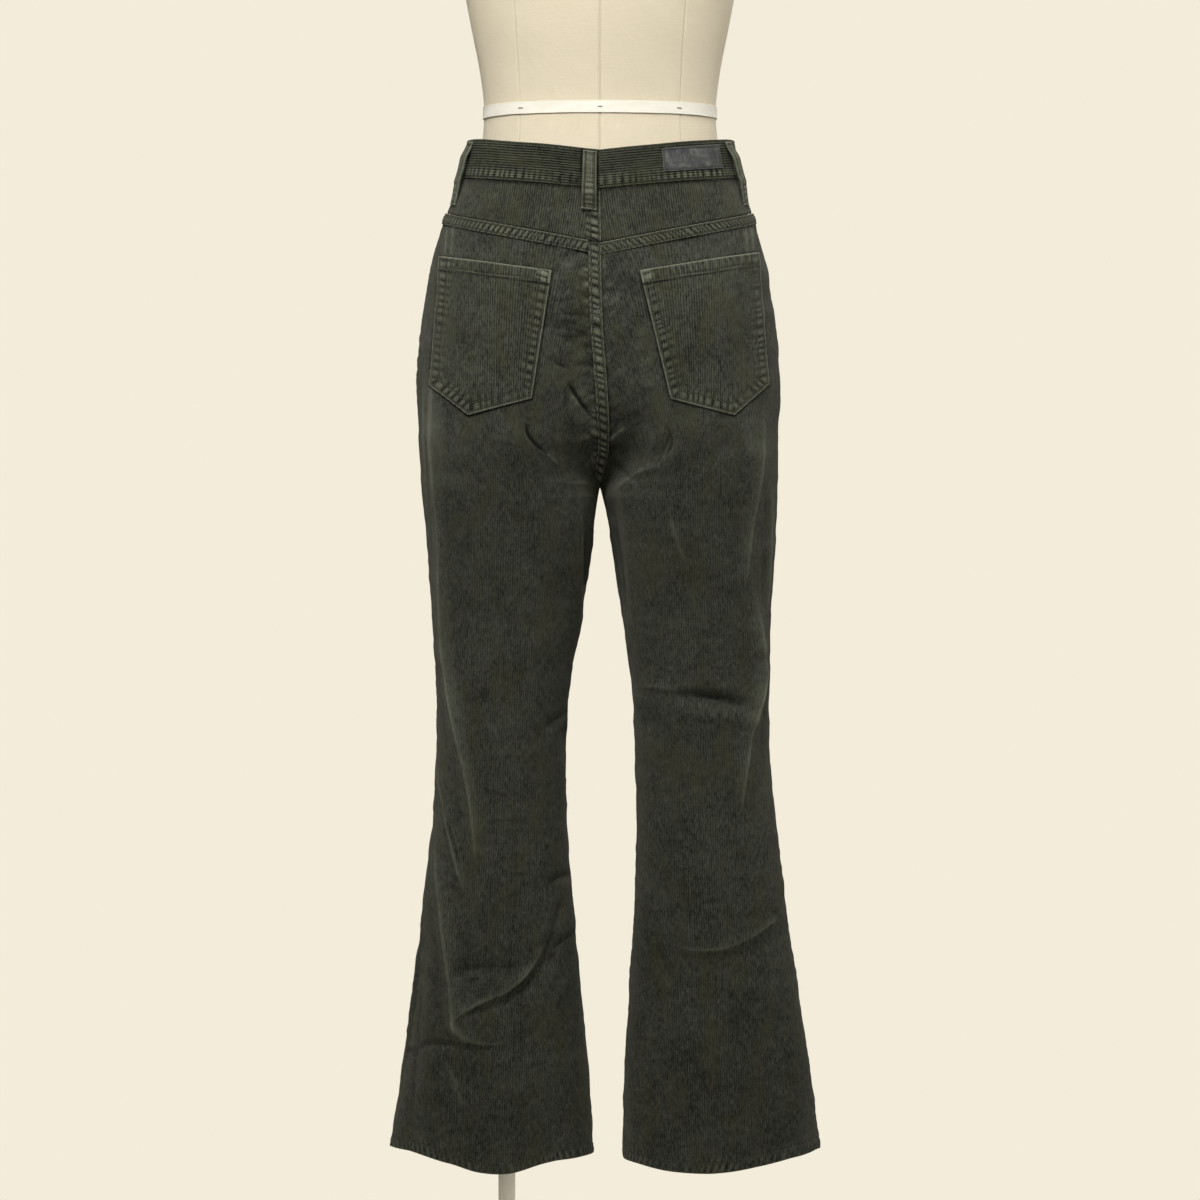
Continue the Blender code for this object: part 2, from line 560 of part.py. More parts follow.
def waistband(name, side):
    """Half the waistband, from the centre back round to the fly's edge right of the centre front."""
    t = np.array([BAND_T + T_STEP, 0.93, 0.965, 1.0])
    edge = FLY_EDGE_X + side * GAP / 2
    stations = [(side, -1, u) for u in np.linspace(1, 0, 13)]
    if side < 0:
        stations += [(side, 1, u) for u in np.linspace(0, 1, 13)[1:]]
        stations.append((1, 1, reach_u(1, 1, 1.95, edge)))
    else:
        stations += [(side, 1, u) for u in np.linspace(0, reach_u(1, 1, 1.95, edge), 13)[1:]]
    point = np.stack([body_point(*station, 1 + t) for station in stations], axis=1)
    normal = np.stack([body_normal(*station, 1 + t) for station in stations], axis=1)
    point[:, 0, 0] = side * GAP / 2
    point[:, -1, 0] = edge
    normal[:, -1, 0] = 0.0
    normal /= np.linalg.norm(normal, axis=-1, keepdims=True)
    return wall_mesh(name, point + normal * BAND_OUT, point - normal * BAND_IN)


# ================= pieces that lie on the panels =================
def patch_pocket(name, side, corners):
    """A five-cornered pocket, cut from the back panel's skin and moved out."""
    skin = cloth_point(side, -1, *back_grid())[0]
    loop = corners if side < 0 else corners[::-1]
    cuts = list(zip(loop, loop[1:] + loop[:1]))
    return cut_from_skins(name, [skin], cuts, OVERLAY_GAP, POCKET_CLOTH)


def seat_seam(name):
    """The raised band of the felled centre-back seam, on the wearer's left back panel."""
    u, h = back_grid()
    rows = (h[:, 0] > 1.1) & (h[:, 0] < 1 + YOKE_T)
    point, normal = cloth_point(-1, -1, u[rows][:, -2:], h[rows][:, -2:])
    point[..., 0] = np.where(u[rows][:, -2:] >= 1, -GAP / 2, point[..., 0])
    top = OVERLAY_GAP + FELL_CLOTH
    return wall_mesh(name, point + normal * top, point + normal * OVERLAY_GAP)


def yoke_seam(name, side):
    """The raised band of the felled yoke seam, on the back panel just under it."""
    u, h = back_grid()
    columns = slice(0, -1 if side < 0 else None)
    u, h = u[-2:, columns], h[-2:, columns]
    point, normal = cloth_point(side, -1, u, h)
    point = point + seam_shift(side, -1, u, h)
    if side < 0:
        point[:, -1] += (point[:, -2] - point[:, -1]) * 0.04  # clear of the seat seam's band
    top = OVERLAY_GAP + FELL_CLOTH
    return wall_mesh(name, point + normal * top, point + normal * OVERLAY_GAP)


def belt_loop(name, side, face, middle, lean, gap, foot):
    """A strap sewn down at both ends, standing off the waistband between them."""
    t = np.array([foot, foot + 0.010, foot + 0.021, 0.875, 0.905, 0.935, 0.955, 0.972, 0.984, LOOP_TOP_T])
    near = body_point(side, face, np.array([middle - 0.01, middle + 0.01]), np.full(2, 1 + BAND_T))
    half_u = 0.5 * LOOP_WIDTH / (np.linalg.norm(near[1] - near[0]) / 0.02)
    u, h = grid([middle - half_u, middle, middle + half_u], 1 + t)
    u = u + lean * (t[:, None] - LOOP_HEAD_T)
    on_band = ease(t, BAND_T - 0.03, BAND_T - 0.012) * (BAND_OUT + GAP)
    raised = ease(t, foot, BAND_T - 0.018) * (1 - ease(t, 0.942, 0.986))
    clear = GAP + on_band + gap * raised
    point = body_point(side, face, u, h)
    ahead = body_normal(side, face, np.array([middle]), np.array([1 + BAND_T]))[0]
    direction = ahead + body_normal(side, face, u, h)
    direction /= np.linalg.norm(direction, axis=-1, keepdims=True)
    inner = point + direction * clear[:, None, None]
    return wall_mesh(name, inner + direction * LOOP_CLOTH, inner)


def fly(name):
    """The fly's overlap, cut from both front panels' skins, with a J-shaped lower end."""
    skins = [cloth_point(side, 1, *front_grid())[0] for side in (-1, 1)]
    inner_x = FLY_EDGE_X - FLY_WIDTH
    outline = [
        (FLY_EDGE_X, 2.0),
        (inner_x, 2.0),
        (inner_x, FLY_LOW_Z + 0.036),
        (inner_x + 0.006, FLY_LOW_Z + 0.018),
        (inner_x + 0.020, FLY_LOW_Z + 0.005),
        (FLY_EDGE_X - 0.006, FLY_LOW_Z),
        (FLY_EDGE_X, FLY_LOW_Z),
    ]
    outline.reverse()
    cuts = list(zip(outline, outline[1:] + outline[:1]))
    return cut_from_skins(name, skins, cuts, OVERLAY_GAP, FLY_CLOTH)


def label_patch(name):
    """The plain patch on the waistband's right half."""
    t = np.linspace(*PATCH_T, 3)
    x = np.linspace(*PATCH_X, 7)
    u_of_x = locate(1, -1, x, np.full(x.shape, PATCH_Z))[0]
    u, h = grid(u_of_x, 1 + t)
    point, normal = body_point(1, -1, u, h), body_normal(1, -1, u, h)
    lift = BAND_OUT + PATCH_GAP
    return wall_mesh(name, point + normal * (lift + PATCH_CLOTH), point + normal * lift)


def button(name, finish, collection):
    """The waistband's button: a low turned disc with a rounded rim."""
    point = body_point(1, 1, np.array([1.0]), np.array([1 + BUTTON_T]))[0]
    normal = body_normal(1, 1, np.array([1.0]), np.array([1 + BUTTON_T]))[0]
    bm = bmesh.new()
    top_radius = BUTTON_RADIUS * 0.8
    bmesh.ops.create_cone(
        bm, cap_ends=True, segments=24, radius1=BUTTON_RADIUS, radius2=top_radius, depth=BUTTON_HEIGHT
    )
    mesh = bpy.data.meshes.new(name)
    bm.to_mesh(mesh)
    bm.free()
    made = add_object(name, mesh, finish, collection)
    centre = point + normal * (BAND_OUT + 2 * GAP + BUTTON_HEIGHT / 2)
    made.location = centre
    made.rotation_euler = (math.atan2(normal[2], normal[1]) - math.pi / 2, 0, 0)
    return made


# ================= dress form and stand =================
def form_ring(z, lift=0.0, count=36):
    """A ring of points round the dress form at height z, cut flat at the armholes."""
    width = smooth_rows(FORM_ROWS, 1, z) + lift
    back = smooth_rows(FORM_ROWS, 2, z) - lift
    front = smooth_rows(FORM_ROWS, 3, z) + lift
    angle = np.linspace(0, 2 * np.pi, count, endpoint=False)
    power = 2 / 2.15
    x = width * np.sign(np.cos(angle)) * np.abs(np.cos(angle)) ** power
    sine = np.sin(angle)
    y = np.where(sine < 0, -back, front) * np.sign(sine) * np.abs(sine) ** power
    x = np.clip(x, -ARM_PLATE_X, ARM_PLATE_X) if z > 1.35 else x
    return np.stack([x, y, np.full(count, float(z))], axis=-1)


def form_torso(name):
    """The padded torso, a loft through its rings with a flat top and bottom."""
    rings = [form_ring(row[0]) for row in FORM_ROWS]
    bm = bmesh.new()
    loops = [[bm.verts.new(p) for p in ring] for ring in rings]
    for low, high in zip(loops, loops[1:]):
        for j in range(len(low)):
            k = (j + 1) % len(low)
            bm.faces.new((low[j], low[k], high[k], high[j]))
    bm.faces.new(list(reversed(loops[0])))
    bm.faces.new(loops[-1])
    mesh = bpy.data.meshes.new(name)
    bm.to_mesh(mesh)
    bm.free()
    return mesh


def ease_edges(made, width):
    bevel = made.modifiers.new("eased edge", "BEVEL")
    bevel.width = width
    bevel.segments = 2
    bevel.limit_method = "ANGLE"
    bevel.angle_limit = math.radians(40)


def turned(name, radius, low, high, edge, finish, collection, centre=(0.0, 0.0), segments=48):
    """A solid turned about a vertical axis, with an eased edge."""
    bm = bmesh.new()
    bmesh.ops.create_cone(
        bm, cap_ends=True, segments=segments, radius1=radius, radius2=radius, depth=high - low
    )
    mesh = bpy.data.meshes.new(name)
    bm.to_mesh(mesh)
    bm.free()
    made = add_object(name, mesh, finish, collection)
    made.location = (*centre, (low + high) / 2)
    if edge:
        ease_edges(made, edge)
    return made


def neck_cap(name, finish, collection):
    """A low cap on the neck, as wide as the neck's top ring."""
    top_z, half_width, back, front = FORM_ROWS[-1]
    made = turned(name, 1.0, 0.0, NECK_CAP_HEIGHT, 0.0, finish, collection, segments=36)
    half_depth = (front - back) / 2
    made.data.transform(Matrix.Diagonal((half_width * 1.02, half_depth * 1.02, 1.0, 1.0)))
    made.location = (0.0, (front + back) / 2, top_z + GAP + NECK_CAP_HEIGHT / 2)
    ease_edges(made, 0.004)
    return made


def arm_plate(name, side, finish, collection):
    """The oval plate that closes an armhole."""
    bm = bmesh.new()
    bmesh.ops.create_cone(
        bm, cap_ends=True, segments=32, radius1=1.0, radius2=1.0, depth=PLATE_THICKNESS
    )
    for vert in bm.verts:
        across, up, deep = vert.co
        shrink = 0.94 if deep > 0 else 1.0
        vert.co = (
            side * (ARM_PLATE_X + GAP + PLATE_THICKNESS / 2 + deep),
            ARM_PLATE_Y + across * ARM_PLATE_RADII[0] * shrink,
            ARM_PLATE_Z + up * ARM_PLATE_RADII[1] * shrink,
        )
    bm.normal_update()
    bmesh.ops.recalc_face_normals(bm, faces=bm.faces)
    mesh = bpy.data.meshes.new(name)
    bm.to_mesh(mesh)
    bm.free()
    return add_object(name, mesh, finish, collection)


def waist_tape(name):
    """The tape round the form's waist, a closed band a little outside the torso."""
    heights = np.linspace(TAPE_Z - TAPE_HEIGHT / 2, TAPE_Z + TAPE_HEIGHT / 2, 3)
    inner = np.stack([form_ring(z, lift=TAPE_GAP) for z in heights])
    outer = np.stack([form_ring(z, lift=TAPE_GAP + TAPE_THICKNESS) for z in heights])
    return wall_mesh(name, outer, inner, closed=True)


def main():
    for old in list(bpy.data.objects):
        bpy.data.objects.remove(old)
    model = bpy.data.collections.new("corduroy_trousers_on_dress_form")
    bpy.context.scene.collection.children.link(model)

    corduroy = material("corduroy", (0.040, 0.041, 0.030), 0.95)
    patch = material("patch", (0.068, 0.069, 0.064), 0.85)
    linen = material("linen", (0.70, 0.61, 0.46), 0.9)
    tape = material("tape", (0.85, 0.85, 0.83), 0.8)
    metal = material("button_metal", (0.24, 0.22, 0.17), 0.4, 1.0)
    enamel = material("stand_enamel", (0.86, 0.82, 0.72), 0.4)

    for label, side in (("left", -1), ("right", 1)):
        add_object("back_panel_" + label, leg_panel("back_panel_" + label, side, -1), corduroy, model)
        add_object("front_panel_" + label, leg_panel("front_panel_" + label, side, 1), corduroy, model)
        add_object("yoke_" + label, yoke("yoke_" + label, side), corduroy, model)
        add_object("waistband_" + label, waistband("waistband_" + label, side), corduroy, model)
        add_object("front_facing_" + label, pocket_facing("front_facing_" + label, side), corduroy, model)
        pocket = patch_pocket("back_pocket_" + label, side, POCKETS[label])
        add_object("back_pocket_" + label, pocket, corduroy, model)
        add_object("yoke_seam_" + label, yoke_seam("yoke_seam_" + label, side), corduroy, model)
    add_object("seat_seam", seat_seam("seat_seam"), corduroy, model)
    add_object("fly", fly("fly"), corduroy, model)
    for name, row in LOOPS.items():
        add_object(name, belt_loop(name, *row), corduroy, model)
    add_object("label_patch", label_patch("label_patch"), patch, model)
    button("button", metal, model)

    add_object("form_torso", form_torso("form_torso"), linen, model)
    add_object("waist_tape", waist_tape("waist_tape"), tape, model)
    neck_cap("neck_cap", enamel, model)
    arm_plate("arm_plate_left", -1, enamel, model)
    arm_plate("arm_plate_right", 1, enamel, model)
    bottom = FORM_ROWS[0][0]
    socket_low = bottom - GAP - SOCKET_HEIGHT
    turned("rod_socket", SOCKET_RADIUS, socket_low, bottom - GAP, 0.002, enamel, model, (ROD_X, ROD_Y), 32)
    turned("rod", ROD_RADIUS, BASE_HEIGHT + GAP, socket_low - GAP, 0.0, enamel, model, (ROD_X, ROD_Y), 20)
    turned("base", BASE_RADIUS, 0.0, BASE_HEIGHT, BASE_EDGE, enamel, model, segments=64)


main()
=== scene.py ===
"""Looks of the corduroy trousers on their dress form, in metres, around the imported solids.

Every cloth piece is a thin shell on its solid's form, with the creases, puckers and stitches that the
solids leave out. A point of the cloth has the four coordinates that the solids' source uses:
side is -1 or +1 for the leg at -X or +X, face is -1 for the back and +1 for the front,
u runs from 0 at the outer side seam to 1 at the inseam, or at the centre seam above the crotch, and
h runs from 0 at the hem through 1 at the crotch to 2 at the top of the waistband.
"""

import math

import bpy
import numpy as np
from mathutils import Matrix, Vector


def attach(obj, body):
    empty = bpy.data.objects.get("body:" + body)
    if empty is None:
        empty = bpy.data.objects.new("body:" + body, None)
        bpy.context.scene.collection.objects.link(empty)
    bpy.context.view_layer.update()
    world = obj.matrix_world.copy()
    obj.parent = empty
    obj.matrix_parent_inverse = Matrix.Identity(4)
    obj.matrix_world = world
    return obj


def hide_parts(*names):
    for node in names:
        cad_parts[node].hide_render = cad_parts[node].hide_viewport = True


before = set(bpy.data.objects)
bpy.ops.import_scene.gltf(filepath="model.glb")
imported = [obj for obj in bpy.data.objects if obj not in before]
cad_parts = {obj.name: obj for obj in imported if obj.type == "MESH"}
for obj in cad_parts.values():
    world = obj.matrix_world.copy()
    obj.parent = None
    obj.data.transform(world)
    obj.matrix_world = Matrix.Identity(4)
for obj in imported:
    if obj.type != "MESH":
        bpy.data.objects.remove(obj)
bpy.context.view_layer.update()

# ================= sizes shared with the solids =================
CLOTH = 0.0016  # thickness of the corduroy
GAP = 0.0003  # clearance between neighbouring pieces
HEM_CLOTH = 0.0030  # thickness of the turned-up hem
HEM_HEIGHT = 0.0185  # of what is turned up
BAND_OUT = 0.0012  # the waistband stands this far out of the body surface
BAND_IN = 0.0024  # and reaches this far in
BAND_HEIGHT = 0.0390
SQUARENESS = 2.5  # exponent of the super-ellipse of a cross-section
CROTCH_Z = 0.8765
LEG_LENGTH = CROTCH_Z - 0.175  # from the hem to the crotch
RISE_LENGTH = 0.36  # from the crotch to the waist
SEAT_T = 0.44  # share of the rise where the crotch curve has become the upright centre seam
YOKE_T = 0.785  # where the yoke seam lies
BAND_T = 0.895  # where the waistband's lower edge lies
T_STEP = 0.0009  # half the clearance of a seam across the panels, as a share of the rise
RISE_ROWS = [  # share, z at the side seam, z at the centre back, z at the centre front
    (0.0, 0.8765, 0.8765, 0.8765),
    (SEAT_T, 1.0355, 0.9865, 0.9665),
    (YOKE_T, 1.1600, 1.1260, 1.1180),
    (BAND_T, 1.1945, 1.1800, 1.1740),
    (1.0, 1.2345, 1.2190, 1.2130),
]
HEM_ROWS = [  # u, height of the hem: left back, left front, right back, right front
    (0.00, 0.1790, 0.1790, 0.1767, 0.1767),
    (0.12, 0.1848, 0.1785, 0.1825, 0.1760),
    (0.25, 0.1860, 0.1780, 0.1814, 0.1750),
    (0.38, 0.1791, 0.1770, 0.1760, 0.1745),
    (0.47, 0.1700, 0.1765, 0.1710, 0.1740),
    (0.56, 0.1690, 0.1760, 0.1690, 0.1738),
    (0.66, 0.1774, 0.1755, 0.1690, 0.1730),
    (0.80, 0.1788, 0.1745, 0.1720, 0.1710),
    (1.00, 0.1727, 0.1727, 0.1670, 0.1670),
]
LEG_ROWS = [  # z, |x| of left outer, left inner, right inner and right outer edge, y of back, seam, front
    (0.1725, 0.2233, 0.0075, 0.0246, 0.2329, -0.088, -0.022, 0.040),
    (0.2009, 0.2190, 0.0080, 0.0246, 0.2300, -0.087, -0.022, 0.040),
    (0.2444, 0.2121, 0.0107, 0.0250, 0.2249, -0.086, -0.021, 0.040),
    (0.3311, 0.2010, 0.0185, 0.0298, 0.2116, -0.083, -0.020, 0.039),
    (0.4173, 0.1888, 0.0262, 0.0350, 0.1983, -0.080, -0.020, 0.039),
    (0.5031, 0.1777, 0.0335, 0.0385, 0.1873, -0.079, -0.019, 0.040),
    (0.5885, 0.1720, 0.0359, 0.0372, 0.1773, -0.080, -0.018, 0.042),
    (0.6735, 0.1716, 0.0310, 0.0322, 0.1758, -0.085, -0.016, 0.048),
    (0.7580, 0.1754, 0.0172, 0.0205, 0.1775, -0.096, -0.014, 0.060),
    (0.8210, 0.1803, 0.0073, 0.0115, 0.1813, -0.109, -0.012, 0.076),
    (0.8560, 0.1838, 0.0042, 0.0056, 0.1828, -0.117, -0.010, 0.086),
    (0.8765, 0.1850, 0.0004, 0.0004, 0.1835, -0.122, -0.010, 0.092),
]
HIP_ROWS = [  # z, |x| of left and right side, y of back, side seam, front, centre back, centre front
    (0.8765, 0.1850, 0.1835, -0.122, -0.010, 0.092, -0.108, 0.084),
    (0.9154, 0.1878, 0.1842, -0.129, -0.009, 0.101, -0.116, 0.094),
    (0.9571, 0.1889, 0.1850, -0.135, -0.008, 0.110, -0.123, 0.104),
    (0.9883, 0.1905, 0.1866, -0.137, -0.007, 0.115, -0.127, 0.110),
    (1.0194, 0.1886, 0.1848, -0.136, -0.006, 0.117, -0.128, 0.113),
    (1.0505, 0.1850, 0.1812, -0.132, -0.005, 0.117, -0.126, 0.114),
    (1.0816, 0.1795, 0.1766, -0.127, -0.004, 0.115, -0.122, 0.113),
    (1.1126, 0.1742, 0.1706, -0.120, -0.003, 0.112, -0.117, 0.110),
    (1.1538, 0.1610, 0.1590, -0.110, -0.002, 0.106, -0.109, 0.105),
    (1.1945, 0.1440, 0.1450, -0.102, 0.000, 0.101, -0.102, 0.100),
    (1.2345, 0.1360, 0.1375, -0.097, 0.000, 0.097, -0.097, 0.096),
]
DRIFT_ROWS = [  # z, how far the centre-back seam wanders to +X of the middle
    (0.8765, 0.0000),
    (0.8930, 0.0030),
    (0.9120, 0.0080),
    (0.9330, 0.0095),
    (0.9530, 0.0090),
    (0.9930, 0.0066),
    (1.0230, 0.0042),
    (1.0600, 0.0022),
    (1.1260, 0.0008),
    (1.1800, 0.0000),
]
SEAT_FULLNESS = 0.015  # extra depth of each buttock, halfway up the crotch curve
BELLY_FULLNESS = 0.008  # and of the front
POCKETS = {  # (x, z) of outer top, inner top, inner bottom, tip and outer bottom corner
    "left": [(-0.163, 1.114), (-0.0480, 1.0980), (-0.0680, 0.9710), (-0.1312, 0.9540), (-0.1725, 0.9845)],
    "right": [(0.1610, 1.118), (0.0395, 1.0980), (0.0705, 0.9705), (0.1338, 0.9540), (0.1705, 0.9850)],
}
POCKET_CLOTH = 0.0016
POCKET_SLACK = 0.0012  # how far a pocket's middle stands off
OVERLAY_GAP = 0.0004  # between a panel and what is sewn on it
FELL_CLOTH = 0.0010
FELL_T = 0.030  # height of the yoke seam's felled band, as a share of the rise
FLY_EDGE_X = 0.012  # the fly and the waistband's upper end close here
FLY_WIDTH = 0.046
FLY_LOW_Z = 0.985  # the fly's lower end
FLY_BEND = 0.030  # height of the J at its lower end
FLY_CLOTH = 0.0014
SCOOP_U = 0.47  # the front pocket's opening starts here at the waistband
SCOOP_T = 0.60  # and ends here at the side seam
FACING_GAP = 0.0018  # between the front panel and the piece under its scoop
FACING_TUCK_U = 0.05  # the facing runs this far under the panel
PATCH_GAP = 0.0007
PATCH_X = (0.0622, 0.1218)  # the patch's two ends
PATCH_T = (0.922, 0.986)  # its lower and upper edge, as shares of the rise
PATCH_Z = 1.2075  # its middle
PATCH_CLOTH = 0.0012
PATCH_SIZE = (0.0596, 0.0248)  # along the cloth
LOOP_WIDTH = 0.0145
LOOP_CLOTH = 0.0024
LOOP_LENGTH = 0.062  # along the cloth, foot to head
LOOP_TOP_T = 0.992  # the loops' upper ends, as a share of the rise
LOOPS = {  # side, face, u of the middle, its lean in u, depth of the gap, share of the rise at its foot
    "loop_back": (-1, -1, 0.956, 0.0, 0.0065, 0.848),
    "loop_side_left": (-1, -1, 0.255, 0.15, 0.0042, 0.812),
    "loop_side_right": (1, -1, 0.285, 0.40, 0.0046, 0.812),
    "loop_front_left": (-1, 1, 0.700, 0.0, 0.0082, 0.825),
    "loop_front_right": (1, 1, 0.700, 0.0, 0.0082, 0.825),
}
LOOP_HEAD_T = 0.950  # a leaning loop crosses its middle u at this share
BUTTON_RADIUS = 0.0085
BUTTON_T = 0.948  # the button's middle, as a share of the rise
FORM_ROWS = [  # z, half width, y of back, y of front
    (0.960, 0.146, -0.096, 0.080),
    (0.968, 0.162, -0.107, 0.090),
    (0.985, 0.172, -0.117, 0.097),
    (1.010, 0.174, -0.120, 0.100),
    (1.050, 0.170, -0.118, 0.100),
    (1.090, 0.162, -0.112, 0.098),
    (1.130, 0.151, -0.104, 0.094),
    (1.165, 0.139, -0.096, 0.090),
    (1.200, 0.128, -0.089, 0.087),
    (1.235, 0.1215, -0.085, 0.086),
    (1.265, 0.1195, -0.084, 0.086),
    (1.300, 0.1230, -0.087, 0.089),
    (1.345, 0.1315, -0.093, 0.098),
    (1.390, 0.1400, -0.098, 0.109),
    (1.440, 0.1480, -0.102, 0.122),
    (1.475, 0.1540, -0.104, 0.126),
    (1.520, 0.1640, -0.105, 0.117),
    (1.560, 0.1720, -0.102, 0.103),
    (1.600, 0.1740, -0.093, 0.080),
    (1.622, 0.1640, -0.084, 0.064),
    (1.640, 0.1360, -0.075, 0.054),
    (1.658, 0.0980, -0.067, 0.049),
    (1.676, 0.0680, -0.059, 0.046),
    (1.700, 0.0560, -0.051, 0.044),
    (1.740, 0.0530, -0.047, 0.046),
]
ARM_PLATE_X = 0.1650  # the torso is cut flat here for the armhole plates
ARM_LOW_Z = 1.35  # and only above this height
FORM_RADIUS = 0.12  # about; turns a length round the torso into an angle
WAIST_RADIUS = 0.11  # the same at the tape
TAPE_Z = 1.2628  # the middle of the form's waist tape
TAPE_HEIGHT = 0.0125
TAPE_THICKNESS = 0.0009
TAPE_GAP = 0.0006  # between it and the linen

# ================= sewing =================
ROWS = (0.0028, 0.0104)  # the two rows of stitches beside a lapped edge, from the edge
FELL_ROWS = (0.0021, 0.0104)  # the two rows on a felled seam's raised band
HEM_ROW = 0.0115  # the hem's row, above its edge
FLY_ROWS = (0.0025, 0.0095)  # the fly's two rows, from its long edge
LOOP_ROW = 0.0028  # a belt loop's rows, from its sides
PATCH_ROW = 0.0019  # the patch's row, from its edge
POCKET_HEM = 0.0140  # height of the hem across a back pocket's top
POCKET_HEM_ROWS = (POCKET_HEM - 0.0032, POCKET_HEM)  # its two rows, from the top
FELL_WIDTH = 0.0125  # of a felled seam's raised band
RUNG = 0.0064  # from one pucker to the next along a seam
YOKE_RUNG = 0.0057  # the same along the yoke seams
SEAT_RUNG = 0.0076  # the same down the centre-back seam
SEAT_SLANT = -0.35  # where its puckers fall to the right
POCKET_RUNGS = {-1: 0.0079, 1: 0.0072}  # the same along the sides of each pocket
BAND_ROW = 0.0018  # the waistband's rows, from its edges
PUCKER = 0.00065  # height of a pucker
GROOVE = 0.00050  # how deep a row of stitches sinks
GROOVE_HALF = 0.0008  # half width of that groove
BLOCK_EDGE = 0.0009  # how far from a row the puckers reach their height
LINE_HALF = 0.0013  # half width of a crease's line: worn pile with painted highlight on a ridge, painted shade in a trough
BESIDE = 0.0027  # from that line to the painted line of opposite tone on the crease's steep side
SEAM_SLIT = 0.00002  # half the slit between two joined pieces
STITCH_PITCH = 0.0032  # from one stitch to the next
STITCH_LENGTH = 0.0024
THREAD = 0.00055  # width of a stitch
STITCH_RINGS = [  # share of a stitch's length, height and half width there in half threads
    (0.0, -0.6, 0.45),
    (0.18, 0.45, 0.95),
    (0.5, 0.8, 1.0),
    (0.82, 0.45, 0.95),
    (1.0, -0.6, 0.45),
]
BAR_TACKS = (0.0050, 0.0064), (0.0056, 0.0068)  # from a belt loop's foot and top, as shares of the rise
PATCH_ROW_T = 0.0050  # the patch's rows from its edges, as a share of the rise
